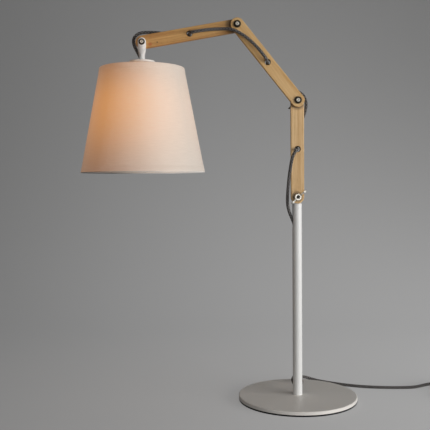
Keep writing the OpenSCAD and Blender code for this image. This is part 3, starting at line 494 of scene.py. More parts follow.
def free_cord(name, path, sides, nodes):
    """A free stretch of the lead: its tube in place of its solids, riding on the base."""
    piece = cord_tube(name, path, sides, *nodes)
    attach(piece, "base")


free_cord("mains_lead_cord", MM * smooth_route(LEAD_ROUTE, 3), 20, ["mains_lead"])

# %% [markdown]
# Past the switch, the rest of the lead is wound up and tied, and ends in a plug, just past the right edge
# of the picture. The coil is a spiral that goes in on a lower layer and comes out on an upper one, so that
# the turns lie beside and on each other. A formula winds it more evenly than typed points.

# %% Coil and plug end
SWITCH_ROUTE = [
    (302, 54, 9.2), (308, 54, 9.2), (314.5, 54, 9.2), (322.5, 53.2, 7.4), (330.5, 49, 4.8),
    (335.8, 41.6, 3.8), (338, 32.4, 3.7), (338, 22, 3.7), (338, 10, 3.7), (338, -2, 3.7)]
PLUG_ROUTE = [
    (338, -14, 9.9), (338, -20, 9.9), (338, -30, 9.6), (338, -42, 8), (338, -54, 7.3), (338, -64, 7.2),
    (338, -86, 7.2)]
COIL_R, COIL_STEP, COIL_TURNS, TURN_STEPS, COIL_MIDDLE = 41.0, 6.0, 3, 48, (297.0, -8.0)
LOW_LAYER, LAYER_RISE, CLIMB_TURNS = 3.7, 6.2, 0.5

t = np.linspace(0, 2 * COIL_TURNS, 2 * COIL_TURNS * TURN_STEPS + 1)
reach = COIL_R - COIL_STEP * (COIL_TURNS - np.abs(COIL_TURNS - t))
climb = np.clip((t - COIL_TURNS) / CLIMB_TURNS + 0.5, 0, 1)
turned = 2 * np.pi * t
coil = np.stack([COIL_MIDDLE[0] + reach * np.cos(turned), COIL_MIDDLE[1] - reach * np.sin(turned),
                 LOW_LAYER + LAYER_RISE * climb**2 * (3 - 2 * climb)], 1)
tail = np.vstack([smooth_route(SWITCH_ROUTE, 3)[:-1], coil, smooth_route(PLUG_ROUTE, 3)[1:]])
free_cord("coiled_cord", MM * tail, 16, ["switch_lead", "lead_coil", "plug_lead"])

# %% [markdown]
# ## Shared surface detail
# Paint, plastic, rubber and metal all vary a little. Two groups give that: a fine mottle for coated and
# moulded surfaces, with a tone and a low relief, and a satin streak for metal, whose roughness changes
# along the brushing. Noise is enough for both, because neither has a pattern that the eye could follow.

# %% Mottle and satin groups
CLOUD_SCALE, BLOT_SCALE, BRUSHED_WAY = 14.0, 120.0, (1.0, 0.15, 1.0)
USUAL = (0.3, 0.7)  # the range that most of a noise lies in

mottle_group, given, result = group("Fine mottle", {"Vector": "Vector", "Scale": 1200.0}, ["Tone", "Height"])
cloud = noise(given["Vector"], CLOUD_SCALE, 3.0)
grit = noise(given["Vector"], given["Scale"], 2.0)
tone = calc("MULTIPLY_ADD", cloud, 0.7, calc("MULTIPLY", grit, 0.3))
give(result, Tone=tone, Height=grit)

satin_group, given, result = group("Satin metal", {"Vector": "Vector", "Scale": 300.0},
                                   ["Tone", "Roughness", "Height"])
streak = noise(scaled(given["Vector"], BRUSHED_WAY), given["Scale"], 4.0)
blot = noise(given["Vector"], BLOT_SCALE, 2.0)
give(result, Tone=spread(blot, *USUAL), Height=streak, Roughness=spread(streak, *USUAL, 0.22, 0.42))
print("mottle:", len(mottle_group.nodes), "nodes, satin:", len(satin_group.nodes), "nodes")

# %% [markdown]
# ## Coats and mouldings
# The pole, canopy and wires have a white powder coat with a faint orange peel. The disc has the same sort of
# coat in a warmer white, a tint painted in for the bulb's warm light on it. Painted shade darkens its lowest
# edge to near black, where it stands over the pad. The lampholder is white moulded plastic, the switch, tie
# and plug black plastic, the strain relief rubber, and the pad under the disc black foam. One function makes
# them all, because they differ only in colours, grain and relief.

# %% Coated and moulded finishes
EDGE_SHADE, EDGE_FADE = (0.012, 0.012, 0.012), 0.0006
COAT_ROUGH, COAT_GRIT, COAT_RELIEF = (0.36, 0.48), 900.0, 0.00004


def coated(name, light, dark, rough=COAT_ROUGH, grit=COAT_GRIT, relief=COAT_RELIEF, edge=None, **values):
    """A coat or moulding: two close colours and two roughnesses by the mottle, and a low relief. Under an
    edge height, painted shade darkens the coat to near black."""
    made, tree, shader = finish_of(name, **values)
    spots = use(mottle_group, Vector=place(tree), Scale=grit)
    colour = mixed(spread(spots["Tone"], *USUAL), dark, light)
    if edge:
        level = split(place(tree))[2]
        # painted shade: below the edge height the coat turns near black
        colour = mixed(spread(level, edge, edge + EDGE_FADE, 1.0, 0.0), colour, EDGE_SHADE)
    roughness = spread(spots["Tone"], *USUAL, rough[1], rough[0])
    give(shader, Base_Color=colour, Roughness=roughness)
    bump(shader, spots["Height"], relief)
    return made


def wear(finish, *names):
    """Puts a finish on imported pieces."""
    for name in names:
        for slot in frame["nodes"][name].material_slots:
            slot.material = finish
    print(finish.name, "on", ", ".join(names))


# the disc's warmer white is painted warm light, and its lowest edge gets painted shade
wear(coated("disc_paint_and_light", (0.80, 0.772, 0.728), (0.76, 0.732, 0.686), edge=0.0025), "base_disc")
wear(coated("white_paint", (0.785, 0.785, 0.77), (0.745, 0.745, 0.73)),
     "pole", "pole_tongue", "canopy", "shade_spider")
wear(coated("holder_white", (0.82, 0.81, 0.78), (0.78, 0.77, 0.74), (0.30, 0.40), 1500.0, 0.00003),
     "lampholder_cap", "lampholder_skirt", "lampholder_insert")
wear(coated("black_plastic", (0.028, 0.028, 0.030), (0.016, 0.016, 0.017), (0.38, 0.52), 1800.0, 0.00005),
     "switch_tray", "switch_cover", "switch_rocker", "coil_tie", "plug_body", "bulb_contact")
wear(coated("black_rubber", (0.048, 0.034, 0.028), (0.028, 0.020, 0.017), (0.65, 0.8), 1200.0, 0.00006),
     "strain_relief")
wear(coated("pad", (0.010, 0.010, 0.010), (0.004, 0.004, 0.004), (0.9, 0.98), 700.0, 0.0003,
            Specular_IOR_Level=0.1), "base_pad")

# %% [markdown]
# The stem is a steel tube with the same sort of coat, pressed flat at its top into a tab for the pivot. The
# pressed sides roll away softly. A finer solid could show that, but the solid is already the right size, so
# the finish adds the roll as relief that falls with the square of the way from the axis.

# %% Stem finish
PRESS_START, PRESS_FADE, PRESS_ROLL = 0.576, 0.008, -60.0

stem_paint, tree, shader = finish_of("stem_paint")
spots = use(mottle_group, Vector=place(tree), Scale=COAT_GRIT)
level = split(place(tree))[2]
aside = split(way_from(tree, tuple(SHADE_PIVOT), (1.0, 0.0, 0.0)))[0]
pressed = spread(level, PRESS_START, PRESS_START + PRESS_FADE, 0.0, PRESS_ROLL)
fall = calc("MULTIPLY", calc("MULTIPLY", aside, aside), pressed)
give(shader, Base_Color=mixed(spots["Tone"], (0.78, 0.765, 0.74), (0.82, 0.81, 0.785)),
     Roughness=spread(spots["Tone"], *USUAL, COAT_ROUGH[1], COAT_ROUGH[0]))
bump(shader, calc("MULTIPLY_ADD", spots["Height"], COAT_RELIEF, fall), 1.0)
wear(stem_paint, "shade_stem")

# %% [markdown]
# ## Metal fixings
# Most screws, washers and nuts are zinc plated steel, a little streaky from handling. The middle arm's
# washers and wing nuts look like dark bronze, the nut at the lowest pivot is a paler zinc with less shine,
# and the contacts are brass. There is little to reflect in a grey room, so the streaks carry the look.

# %% Plated finishes
PLATE_STREAK, PLATE_RELIEF = 400.0, 0.00002


def plated(name, light, dark, streak=PLATE_STREAK, metal=1.0):
    """Metal: two close colours by the blots, and a roughness and relief that follow the streaks."""
    made, tree, shader = finish_of(name, Metallic=metal)
    satin = use(satin_group, Vector=place(tree), Scale=streak)
    give(shader, Base_Color=mixed(satin["Tone"], dark, light), Roughness=satin["Roughness"])
    bump(shader, satin["Height"], PLATE_RELIEF)
    return made


wear(plated("zinc_steel", (0.70, 0.69, 0.66), (0.52, 0.51, 0.49)), "base_screw", "pole_foot_plug",
     "tongue_washer", "lower_arm_washers", "upper_arm_washers", "shade_wing_nut", "stem_nut", "bulb_cap",
     "plug_pins")
wear(plated("dark_bronze", (0.085, 0.066, 0.036), (0.040, 0.031, 0.017), metal=0.6),
     "middle_arm_washers", "elbow_wing_nut", "upper_wing_nut")
wear(plated("nut_zinc", (0.90, 0.87, 0.80), (0.76, 0.73, 0.66), metal=0.5), "lower_wing_nut")
wear(plated("contact_brass", (0.80, 0.60, 0.28), (0.66, 0.47, 0.20), streak=500.0), "lampholder_contacts")

# %% [markdown]
# The pivot bolts carry painted light and shade. The bolts at the elbows and the shade are pale, with a
# painted highlight in the middle of the head and a painted reflection that darkens towards its rim. The bolt
# at the lowest pivot has the same pattern but is painted dark all over, for the shade that its end stands
# in. Each head has a small cross for the screwdriver, with painted shade in its recess, and a thread along
# the shank. The cross and the thread are under a millimetre deep, so the finish draws them: the way from the
# bolt's axis finds the rim and the shank, the diagonals find the cross, and a sine along the axis makes the
# thread.

# %% Bolt finishes
HEAD_FADE, SHANK_FADE = (0.0023, 0.0033), (0.0031, 0.0034)
CROSS_R, CROSS_EDGE, CROSS_DEPTH = 0.0018, (0.0002, 0.0004), 2.0
THREAD_PITCH, THREAD_RELIEF = 0.001, 0.0002
RIM_REFLECTION, CROSS_SHADE, BOLT_TINT = (0.016, 0.011, 0.006), (0.03, 0.025, 0.02), (0.05, 0.04, 0.03, 1.0)
PAINTED_HIGHLIGHT_STEEL = ((0.98, 0.94, 0.84), (0.86, 0.80, 0.68))
PAINTED_SHADE_STEEL = ((0.10, 0.094, 0.085), (0.045, 0.042, 0.038))


def bolt_finish(name, tones, *pivots):
    """A bolt on each pivot: a painted reflection that darkens by the way from its axis, painted shade in a
    cross near either diagonal, and a thread that is the sine of the way along the axis."""
    made, tree, shader = finish_of(name, Metallic=0.15, Specular_IOR_Level=0.1, Specular_Tint=BOLT_TINT)
    satin = use(satin_group, Vector=place(tree), Scale=PLATE_STREAK)
    reach, cross = 1.0, 1.0
    for pivot in pivots:
        way = way_from(tree, tuple(pivot), (1.0, 0.0, 1.0))
        aside, _, up = split(way)
        away = calc_vector("LENGTH", way)
        diagonals = [calc("ABSOLUTE", calc(sign, aside, up)) for sign in ("ADD", "SUBTRACT")]
        past_cross = calc("SUBTRACT", away, CROSS_R)
        near = calc("MAXIMUM", calc("MINIMUM", *diagonals), past_cross)
        reach, cross = calc("MINIMUM", away, reach), calc("MINIMUM", near, cross)
    # painted shade: the cross recess is darkened
    recess = spread(cross, *CROSS_EDGE, 1.0, 0.0)
    steel = mixed(satin["Tone"], tones[1], tones[0])
    # painted reflection: a pale middle on the head, dark towards its rim
    steel = mixed(spread(reach, *HEAD_FADE, 0.0, 0.98), steel, RIM_REFLECTION)
    give(shader, Base_Color=mixed(recess, steel, CROSS_SHADE), Roughness=satin["Roughness"])
    depth = split(place(tree))[1]
    ridge = calc("SINE", calc("MULTIPLY", depth, 2 * np.pi / THREAD_PITCH))
    ridge = calc("MULTIPLY", ridge, spread(reach, *SHANK_FADE, 1.0, 0.0))
    bump(shader, calc("MULTIPLY_ADD", recess, -CROSS_DEPTH, ridge), THREAD_RELIEF)
    return made


# the lowest bolt is painted dark for the shade round its end
wear(bolt_finish("lower_bolt", PAINTED_SHADE_STEEL, LOWEST), "lower_pivot_bolt")
wear(bolt_finish("middle_bolts", PAINTED_HIGHLIGHT_STEEL, ELBOW, TOP_ELBOW), "middle_pivot_bolts")
wear(bolt_finish("shade_bolt", PAINTED_HIGHLIGHT_STEEL, SHADE_PIVOT), "shade_pivot_bolt")

# %% [markdown]
# ## Wooden arms
# Each arm is a flat bar of pale ash with round ends, eased edges, a bolt hole near each end and a hole for
# the cord in the middle. A boolean would cut the holes but leave ragged faces. Instead the bar is split
# into three cells, each a ring of rays from its hole to its own outline, so the faces stay even quads.

# %% Arm outline
ARM_PITCH, ARM_HALF = np.linalg.norm(ELBOW - LOWEST), 0.011
BOLT_R, CORD_HOLE_R = 0.00305, 0.0045
END_RAYS, SIDE_RAYS, RINGS = 5, 17, 5
CELL = ARM_PITCH / 4


def quarter_angles():
    """Directions from along the arm to across it: even steps over the cell's end, then along its side."""
    corner = np.arctan2(ARM_HALF, CELL)
    side_angles = np.arctan2(ARM_HALF, np.linspace(CELL, 0, SIDE_RAYS))
    return np.append(np.linspace(0, corner, END_RAYS)[:-1], side_angles)


def cell_rim(angle, round_end):
    """Way from a hole to its cell's outline: the nearer of side and end line, or the round end itself."""
    sine, cosine = np.abs(np.sin(angle)), np.abs(np.cos(angle))
    rim = np.minimum(ARM_HALF / np.maximum(sine, 1e-9), CELL / np.maximum(cosine, 1e-9))
    return np.where((np.cos(angle) < 1e-9) & round_end, ARM_HALF, rim)


def arm_cell(hole_r, round_end):
    """A ring of points (rays, rows, across and along): hole + a share of the way out to the rim."""
    quarter = quarter_angles()
    back = np.linspace(np.pi / 2, np.pi, SIDE_RAYS)[1:] if round_end else np.pi - quarter[::-1][1:]
    half = np.concatenate([quarter, back])
    angle = np.concatenate([half, 2 * np.pi - half[::-1][1:-1]])
    reach = hole_r + np.linspace(0, 1, RINGS)[None] * (cell_rim(angle, round_end)[:, None] - hole_r)
    return np.stack([reach * np.sin(angle)[:, None], reach * np.cos(angle)[:, None]], -1)


print("rays round the holes:", len(arm_cell(BOLT_R, True)), "and", len(arm_cell(CORD_HOLE_R, False)))

# %% [markdown]
# A bar is a front and a back sheet of three such cells, with walls round the holes and along the outside.
# Where two cells meet there is no wall, and the points that they share are joined into one. A bevel then
# eases every edge as sandpaper does, which is simpler than modelling the round.

# %% Arm surface
EASE, EASE_STEPS, EASE_ANGLE = 0.0011, 4, np.radians(50)


def cell_faces(cell, count, flip):
    """Quads of one cell, counted from its first point: both sheets, the wall of the hole, and the outer wall
    except where the cell meets the next, at an odd number of cells along."""
    rays, rows = cell.shape[:2]
    size = rays * rows
    i, j = np.mgrid[:rays, :rows - 1]
    here, there = i * rows + j, (i + 1) % rays * rows + j
    sheet = np.stack([here, here + 1, there + 1, there], -1).reshape(-1, 4)
    inner, next_inner = here[:, 0], there[:, 0]
    hole = np.stack([inner, next_inner, next_inner + size, inner + size], -1)
    rim, next_rim = inner + rows - 1, next_inner + rows - 1
    step = (cell[:, -1, 1] + np.roll(cell[:, -1, 1], -1)) / 2
    wall = ~np.isclose(np.abs(step / CELL % 2 - 1), 0, atol=1e-6)
    outer = np.stack([rim, rim + size, next_rim + size, next_rim], -1)[wall]
    return [count + quads[:, ::turn * flip]
            for quads, turn in ((sheet, 1), (sheet + size, -1), (hole, 1), (outer, 1))]


def arm_piece(name, pivot, lean, front, back, finish):
    """Three cells on two sheets, turned by the lean about the pivot: x cos - z sin and x sin + z cos."""
    near, mid = arm_cell(BOLT_R, True), arm_cell(CORD_HOLE_R, False)
    points, faces, count = [], [], 0
    for cell, flip in ((near, 1), (mid + (0, 2 * CELL), 1), (near * (1, -1) + (0, 4 * CELL), -1)):
        points += [np.insert(cell.reshape(-1, 2), 1, y, axis=1) for y in (front, back)]
        faces += cell_faces(cell, count, flip)
        count += 2 * cell.shape[0] * cell.shape[1]
    x, y, z = np.concatenate(points).T
    c, s = np.cos(lean), np.sin(lean)
    placed = np.stack([pivot[0] + x * c - z * s, y, pivot[2] + x * s + z * c], 1)
    _, kept, same = np.unique(placed.round(7), axis=0, return_index=True, return_inverse=True)
    quads = same.ravel()[np.concatenate(faces)]
    if enclosed(placed[kept], quads) < 0:
        quads = quads[:, ::-1]
    piece = smooth_piece(name, placed[kept], quads.tolist(), finish)
    ease = piece.modifiers.new("eased_edges", "BEVEL")
    ease.width, ease.segments = EASE, EASE_STEPS
    ease.limit_method, ease.angle_limit = "ANGLE", EASE_ANGLE
    ease.harden_normals = True
    return piece


print("cells of %.0f mm, edges eased by %.1f mm" % (CELL / MM, EASE / MM))

# %% [markdown]
# ## Wood finish
# Ash shows long streaks of darker late wood, fine open pores as short dashes, and a soft drift of colour.
# All three are noise drawn out along the arm. The finish reads the place on the arm after a Mapping node
# has turned it, so that the grain runs along each arm whatever its lean: x is across, y is the depth and z
# is along.

# %% Wood group
BAND_SCALE, DRIFT_SCALE, PORE_SCALE = 420.0, 110.0, 2600.0
LONG_GRAIN, SHORT_GRAIN, PORE_DEPTH = (1.0, 0.6, 0.045), (1.0, 1.0, 0.06), 0.8

wood_group, given, result = group(
    "Long grain", {"Vector": "Vector", "Light": "Color", "Dark": "Color", "Pore": "Color", "Seed": 0.0},
    ["Color", "Roughness", "Height"])
seed_way = add(wood_group, "CombineXYZ", {0: given["Seed"]}).outputs[0]
moved = calc_vector("ADD", given["Vector"], seed_way)
long_way = scaled(moved, LONG_GRAIN)
bands = noise(long_way, BAND_SCALE, 5.0, Roughness=0.62, Distortion=0.4)
drift = noise(long_way, DRIFT_SCALE, 2.0)
dashes = noise(scaled(moved, SHORT_GRAIN), PORE_SCALE, 2.0)
tone = calc("MULTIPLY_ADD", bands, 0.5, calc("MULTIPLY", drift, 0.5))
pore = calc("MULTIPLY", spread(dashes, 0.60, 0.72), spread(bands, 0.6, 0.4, 0.15, 0.8))
wood = mixed(spread(tone, 0.39, 0.61), given["Dark"], given["Light"])
give(result, Color=mixed(pore, wood, given["Pore"]), Roughness=spread(tone, 0.35, 0.65, 0.58, 0.44),
     Height=calc("MULTIPLY_ADD", pore, -PORE_DEPTH, bands))
print("wood:", len(wood_group.nodes), "nodes")

# %% [markdown]
# Each arm has its own tone, paler below and redder towards the shade, and its own marks: painted shade round
# the rim of the cord hole, a knot and a small burn near the shade, and rings of painted shadow round the
# pivots, where an arm or a nut in front shades the wood behind it. A mark is a colour mixed in by the way
# from one point, which stays sharp at any size. The front and back of a bar come from the box of the solid
# that it stands for.

# %% Three arms
BURN_AND_HOLE_SHADE, KNOT, PIVOT_SHADE = (0.030, 0.018, 0.010), (0.50, 0.17, 0.055), (0.14, 0.095, 0.045)
HOLE_SHADE_RIM, MARK_SHARE, GRAIN_RELIEF = (0.0047, 0.0056), 0.92, 0.00012
KNOT_AT, BURN_AT = (-0.2437, 0.0, 0.5990), (-0.2321, 0.0, 0.6022)
# PIVOT_SHADE rings are painted shadow, where an arm or a nut in front shades the wood
arms = [
    ("lower_arm", LOWEST, ELBOW, 0.13, (0.76, 0.52, 0.265), (0.56, 0.335, 0.135), (0.30, 0.17, 0.07),
     [(LOWEST, 0.0055, 0.0105, PIVOT_SHADE), (ELBOW, 0.0112, 0.0165, PIVOT_SHADE)]),
    ("middle_arm", ELBOW, TOP_ELBOW, 0.57, (0.74, 0.49, 0.225), (0.53, 0.295, 0.095), (0.28, 0.14, 0.05),
     []),
    ("upper_arm", TOP_ELBOW, SHADE_PIVOT, 0.91, (0.68, 0.40, 0.145), (0.46, 0.23, 0.07), (0.24, 0.11, 0.04),
     [(TOP_ELBOW, 0.0115, 0.0210, PIVOT_SHADE), (KNOT_AT, 0.0016, 0.0040, KNOT),
      (BURN_AT, 0.0006, 0.0015, BURN_AND_HOLE_SHADE)]),
]


def ash(name, pivot, lean, marks, **grain_values):
    """Long grain turned along one arm, and marks that fade from an inner to an outer way from a middle."""
    made, tree, shader = finish_of(name)
    sockets = {"Vector": place(tree), "Location": tuple(pivot), "Rotation": (0, -lean, 0)}
    turned = add(tree, "Mapping", sockets, vector_type="TEXTURE").outputs[0]
    grain = use(wood_group, Vector=turned, **grain_values)
    colour = grain["Color"]
    for middle, inner, outer, tint in marks:
        away = calc_vector("LENGTH", way_from(tree, tuple(middle), (1.0, 0.0, 1.0)))
        colour = mixed(spread(away, inner, outer, MARK_SHARE, 0.0), colour, tint)
    give(shader, Base_Color=colour, Roughness=grain["Roughness"])
    bump(shader, grain["Height"], GRAIN_RELIEF)
    return made


for name, start, end, seed, light, dark, pore, marks in arms:
    lean = np.arctan2(start[0] - end[0], end[2] - start[2])
    # painted shade round the rim of the cord hole
    marks = [((start + end) / 2, *HOLE_SHADE_RIM, BURN_AND_HOLE_SHADE)] + marks
    tones = {"Light": (*light, 1), "Dark": (*dark, 1), "Pore": (*pore, 1)}
    finish = ash(name + "_ash", start, lean, marks, Seed=seed, **tones)
    low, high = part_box(name)
    piece = arm_piece(name + "_bar", start, lean, low.y, high.y, finish)
    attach(piece, name)
    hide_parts(name)
    print(name, "leans %.1f degrees," % np.degrees(lean), len(piece.data.polygons), "faces before easing")

# %% [markdown]
# ## The shade's cloth
# The shade is cotton bonded to a stiff lining. The weave is plain: every thread goes over one and under the
# next, so the thread on top changes like a chessboard, as in the braid, but with straight counts. Real
# threads as geometry would need millions of faces, and a bump does as well at this distance. Slubs, the
# thicker places in a thread, are noise drawn out along it.

# %% Weave group
SLUB_WAY, SLUB_SCALE = (1.0, 14.0, 1.0), 60.0

weave_group, given, result = group("Plain weave", {"Vector": "Vector", "Thread": 0.0006}, ["Height", "Tone"])
counts = [calc("DIVIDE", way, given["Thread"]) for way in split(given["Vector"])[:2]]
backs = [arch(count) for count in counts]
slub = noise(scaled(given["Vector"], SLUB_WAY), SLUB_SCALE, 4.0)
give(result, Height=chosen(chequer(*counts), *backs), Tone=slub)
print("weave:", len(weave_group.nodes), "nodes")

# %% [markdown]
# The lit bulb shows through the cloth as a warm glow, a bell in height round the bulb, strongest on the
# front left and more amber towards the front. Light sent through the cloth would need many samples to look
# clean, so the cloth emits the glow itself, as painted light. The fold of the hem inside the bottom edge is
# finished apart, with painted shade on the left and painted daylight, in its colour and a glow, on the
# right.

# %% Shade finish
THREAD, WEAVE_RELIEF = 0.0007, 0.00012
AXIS = (SHADE_PIVOT[0], STEM_Y, 0.0)
GLOW_LEVEL, GLOW_UP, GLOW_DOWN = 0.497, 0.063, 0.092
# painted light: the cloth's glow is strongest facing BRIGHT_SIDE and most amber facing AMBER_SIDE
BRIGHT_SIDE, AMBER_SIDE = (-0.565, -0.825, 0.0), (-0.36, -0.933, 0.0)
HEM_SIDES, FOLD = (-0.32, -0.21), (0.335, 0.338)


def thread_gaps(height):
    """A small share of shadow, which falls from between the threads to their backs."""
    return spread(height, 0.2, 0.9, 0.16, 0.0)


def bell(square):
    """A bell curve: e to the power of minus a square."""
    return calc("POWER", np.e, calc("MULTIPLY", square, -1.0))


def hem_light_and_shade(tree):
    """Colour and glow of the inner hem, painted: painted shade on the left of the shade, and painted
    daylight on the right.
    """
    lit = spread(split(place(tree))[0], *HEM_SIDES)
    colour = mixed(lit, (0.31, 0.31, 0.30), (0.68, 0.66, 0.63))
    return colour, mixed(lit, (0.0, 0.0, 0.0), (0.34, 0.325, 0.31))


def shade_glow(tree, slub):
    """The glow: a dim to a bright tone by the bell of the height, times a share by the side and the slub."""
    rise = calc("SUBTRACT", split(place(tree))[2], GLOW_LEVEL)
    off = calc("MAXIMUM", calc("DIVIDE", rise, GLOW_UP), calc("DIVIDE", rise, -GLOW_DOWN))
    outward = calc_vector("NORMALIZE", way_from(tree, AXIS, (1.0, 1.0, 0.0)))
    amber = spread(calc_vector("DOT_PRODUCT", outward, AMBER_SIDE), 0.70, 0.95)
    dim_tone = mixed(amber, (0.14, 0.080, 0.050), (0.070, 0.015, 0.0))
    glow_tone = mixed(amber, (0.46, 0.200, 0.070), (0.430, 0.145, 0.0))
    warm = mixed(bell(calc("MULTIPLY", off, off)), dim_tone, glow_tone)
    facing = spread(calc_vector("DOT_PRODUCT", outward, BRIGHT_SIDE), 0.0, 1.0, 0.45, 1.14)
    share = calc("MULTIPLY", facing, spread(slub, 0.2, 0.8, 0.97, 1.03))
    even = add(tree, "CombineXYZ", {0: share, 1: share, 2: share}).outputs[0]
    return mixed(1.0, warm, even, "MULTIPLY")


shade_cloth, tree, shader = finish_of("shade_fabric", Roughness=0.88, Sheen_Weight=0.15, Sheen_Roughness=0.6,
                                      Emission_Strength=1.0)
weave = use(weave_group, Vector=unrolled(tree), Thread=THREAD)
fold = spread(split(unrolled(tree))[1], *FOLD)
cloth = mixed(spread(weave["Tone"], *USUAL), (0.660, 0.625, 0.570), (0.700, 0.665, 0.610))
cloth = mixed(thread_gaps(weave["Height"]), cloth, (0.42, 0.38, 0.33))
hem_painted_tone, hem_painted_daylight = hem_light_and_shade(tree)
give(shader, Base_Color=mixed(fold, cloth, hem_painted_tone),
     Emission_Color=mixed(fold, shade_glow(tree, weave["Tone"]), hem_painted_daylight))
bump(shader, weave["Height"], WEAVE_RELIEF)
print("shade finish:", len(tree.nodes), "nodes")

# %% [markdown]
# The wire ring in the bottom edge is bound with the same cloth, so it takes the hem's painted shade on the
# left and painted daylight on the right. It has no UV map, so its weave reads the place on the piece
# instead, which on so thin a wire looks the same.

# %% Bound ring finish
hem_binding, tree, shader = finish_of("hem_binding", Roughness=0.88, Emission_Strength=1.0)
weave = use(weave_group, Vector=place(tree), Thread=THREAD)
hem_painted_tone, hem_painted_daylight = hem_light_and_shade(tree)
gaps = thread_gaps(weave["Height"])
give(shader, Base_Color=mixed(gaps, hem_painted_tone, (0.10, 0.10, 0.10)), Emission_Color=hem_painted_daylight)
bump(shader, weave["Height"], WEAVE_RELIEF)
wear(hem_binding, "shade_bottom_ring")

# %% [markdown]
# ## The shade's shape
# The cloth is wrapped into a cone and rolled over a wire at each edge. Its wall is a closed outline,
# carried round the axis: up the outside, over the top roll, down the inside and round the bottom roll. The
# hems stand 0.3 mm proud. A cone with a Solidify modifier would have square edges and no hems. UVs are
# metres round the cone and up its slope.

# %% Shade surface
TOP_R, BOTTOM_R, TOP_Z, BOTTOM_Z, WALL = 0.070, 0.1025, 0.5580, 0.3870, 0.001
HEM, PROUD, HEM_STEP, ROLL_RISE = 0.008, 0.0003, 0.0004, 0.0006
HEM_SHARES = np.array([0, 0.003, 0.0455, 0.0478, 0.0485])
CLOTH_SHARES, CLOTH_ROWS, AROUND = (0.06, 0.94), 34, 192
ROLL_RUN, ROLL_LENGTH, LAST_RUN = np.array([0.0004, 0.0009, 0.0014]), 0.0018, 0.0005
slope = np.hypot(BOTTOM_R - TOP_R, TOP_Z - BOTTOM_Z)


def wall_outline(up):
    """The outside line of the shade at shares up its slope, with the hems standing proud at both ends."""
    from_edge = np.minimum(up, 1 - up) * slope
    proud = PROUD * np.clip((HEM + HEM_STEP - from_edge) / HEM_STEP, 0, 1)
    return BOTTOM_R + (TOP_R - BOTTOM_R) * up + proud, BOTTOM_Z + (TOP_Z - BOTTOM_Z) * up, up * slope


up = np.unique(np.concatenate([HEM_SHARES, np.linspace(*CLOTH_SHARES, CLOTH_ROWS), 1 - HEM_SHARES]))
outer_r, outer_z, slant = wall_outline(up)
roll = np.radians([30, 90, 150])
roll_r, roll_z = (WALL / 2 + PROUD) * np.cos(roll), ROLL_RISE * np.sin(roll)
profile_r = np.concatenate([outer_r, TOP_R - WALL / 2 + roll_r, (outer_r - WALL)[::-1],
                            BOTTOM_R - WALL / 2 - roll_r])
profile_z = np.concatenate([outer_z, TOP_Z + roll_z, outer_z[::-1], BOTTOM_Z - roll_z])
inside = 2 * slant[-1] + ROLL_LENGTH
profile_s = np.concatenate([slant, slant[-1] + ROLL_RUN, inside - slant[::-1], inside + ROLL_RUN])

angle = np.linspace(0, 2 * np.pi, AROUND, False)[:, None] + np.pi / 2
points = np.stack([AXIS[0] + profile_r * np.cos(angle), AXIS[1] + profile_r * np.sin(angle),
                   profile_z + 0 * angle], -1)
round_it = np.linspace(0, np.pi * (TOP_R + BOTTOM_R), AROUND + 1)
along = np.append(profile_s, profile_s[-1] + LAST_RUN)
uv = np.stack(np.broadcast_arrays(round_it[:, None], along[None]), -1)
shade = grid_piece("shade_cloth", points, uv, shade_cloth, loop_rows=True, loop_columns=True, sharp=70)
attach(shade, "shade_head")
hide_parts("shade_skin")

# %% [markdown]
# ## The lit bulb
# The bulb is on. Its opal glass glows by itself, brightest on the globe and dimmer and redder towards the
# neck. A lamp inside the glass would be noisy, and on an opal bulb the surface is what shines. An emission
# strength of three reads as lit and warms the inside of the shade.

# %% Bulb finish
NECK_LEVEL, GLOBE_LEVEL = 0.512, 0.490

opal, tree, shader = finish_of("bulb_glass", Roughness=0.25, Emission_Strength=3.0, Coat_Weight=0.3)
spots = use(mottle_group, Vector=place(tree), Scale=600.0)
lit = spread(split(place(tree))[2], NECK_LEVEL, GLOBE_LEVEL)
give(shader, Base_Color=mixed(spots["Tone"], (0.82, 0.80, 0.75), (0.88, 0.86, 0.81)),
     Emission_Color=mixed(lit, (0.55, 0.30, 0.10), (1.0, 0.74, 0.42)))
wear(opal, "bulb_glass")

# %% [markdown]
# ## Table and backdrop
# The lamp stood on a smooth grey sheet, lit as a wide pool whose middle lies to the right of the lamp.
# Lamps alone would have to be balanced between the sheet and the lamp, so the sheet also emits the pool's
# grey, a bell in two directions, but only to rays from the camera, a reflection or glass, so it casts no
# light on the lamp. Under the disc the grey is masked, a painted contact shadow, so the line of contact
# stays black.

# %% Sheet finish
FRONT = 3.0
POOL_AT, POOL_SIZE, POOL_LEAN = (0.61, -0.15), (1.3, 2.54), 0.24
POOL_TONE, DIM_TONE, CONTACT_SHADOW = 0.23, 0.04, (0.0990, 0.1003)

sheet_finish, tree, shader = finish_of("studio_sheet", Roughness=0.9)
across, run, _ = split(unrolled(tree))
away = calc("SUBTRACT", run, FRONT)
leaning = calc("MULTIPLY_ADD", away, POOL_LEAN, across)
sideways = calc("DIVIDE", calc("SUBTRACT", leaning, POOL_AT[0]), POOL_SIZE[0])
onward = calc("DIVIDE", calc("SUBTRACT", away, POOL_AT[1]), POOL_SIZE[1])
square = calc("MULTIPLY_ADD", sideways, sideways, calc("MULTIPLY", onward, onward))
grey = calc("MULTIPLY_ADD", bell(square), POOL_TONE, DIM_TONE)
from_middle = calc_vector("LENGTH", way_from(tree, (0.0, 0.0, 0.0), (1.0, 1.0, 0.0)))
# painted contact shadow: no glow under the disc
grey = calc("MULTIPLY", grey, spread(from_middle, *CONTACT_SHADOW))
ray = add(tree, "LightPath", {}).outputs
reflected = calc("MAXIMUM", ray["Is Glossy Ray"], ray["Is Transmission Ray"])
cloudy = noise(place(tree), 3.0, 2.0)
give(shader, Base_Color=mixed(cloudy, (0.30, 0.30, 0.30), (0.31, 0.31, 0.31)),
     Emission_Color=grey, Emission_Strength=calc("MAXIMUM", ray["Is Camera Ray"], reflected))
print("sheet finish:", len(tree.nodes), "nodes")

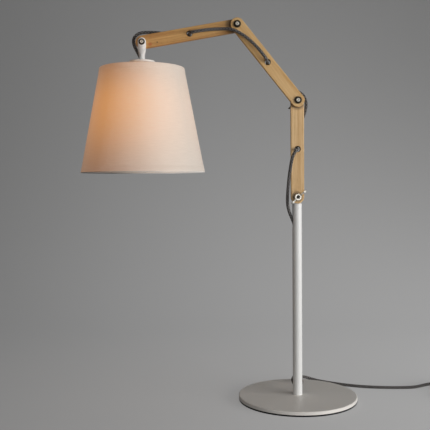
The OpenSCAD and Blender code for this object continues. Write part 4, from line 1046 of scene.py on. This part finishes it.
# %% [markdown]
# The sheet curves up behind the lamp, so there is no horizon, where a flat plane would show one. It is a
# line carried sideways: flat, then a quarter circle, then a wall.

# %% Sheet surface
COVE_START, COVE_R, COVE_STEPS, WALL_TOP, HALF_WIDTH, COLUMNS = 0.6, 1.8, 33, 3.6, 4.0, 9

bend = np.linspace(0, np.pi / 2, COVE_STEPS)
line_y = np.concatenate([[-FRONT], COVE_START + COVE_R * np.sin(bend), [COVE_START + COVE_R]])
line_z = np.concatenate([[0.0], COVE_R * (1 - np.cos(bend)), [WALL_TOP]])
x = np.linspace(-HALF_WIDTH, HALF_WIDTH, COLUMNS)
grid = np.stack(np.broadcast_arrays(x[:, None], line_y[None], line_z[None]), -1)
run = run_of(np.stack([line_y, line_z], 1))
uv = np.stack(np.broadcast_arrays(x[:, None], run[None]), -1)
backdrop = grid_piece("studio_sheet", grid, uv, sheet_finish)
print("sheet: %.1f m wide and %.1f m long" % (2 * HALF_WIDTH, run[-1]))

# %% [markdown]
# ## Light
# The main light is large and low on the right, like a window, which is why the right of the pole is bright,
# its left is dark and the top of the disc is dull. A small panel in front fills the shadows a little, and a
# grey world stands for the room. Panels give soft edges to the shadows, where a sun or a point would give
# hard ones.

# %% Lamps
DAYLIGHT, ROOM_GREY = (1.0, 0.99, 0.98), (0.15, 0.15, 0.15, 1)
lamps = [
    ("key_light", (1.78, -1.11, 0.43), (-0.08, 0.0, 0.36), (1.9, 0.8), 38.0),
    ("low_fill", (0.55, -2.1, 0.42), (0.0, 0.0, 0.15), (0.8, 0.7), 6.5),
]
for name, at, aim, size, watts in lamps:
    light = bpy.data.lights.new(name, "AREA")
    light.shape, light.energy, light.color = "RECTANGLE", watts, DAYLIGHT
    light.size, light.size_y = size
    panel = linked(name, light)
    panel.location = at
    panel.visible_camera = False
    panel.rotation_euler = (Vector(aim) - Vector(at)).to_track_quat("-Z", "Y").to_euler()
    print(name, watts, "W")

world = bpy.data.worlds.new("studio")
world.use_nodes = True
world.node_tree.nodes["Background"].inputs["Color"].default_value = ROOM_GREY
bpy.context.scene.world = world
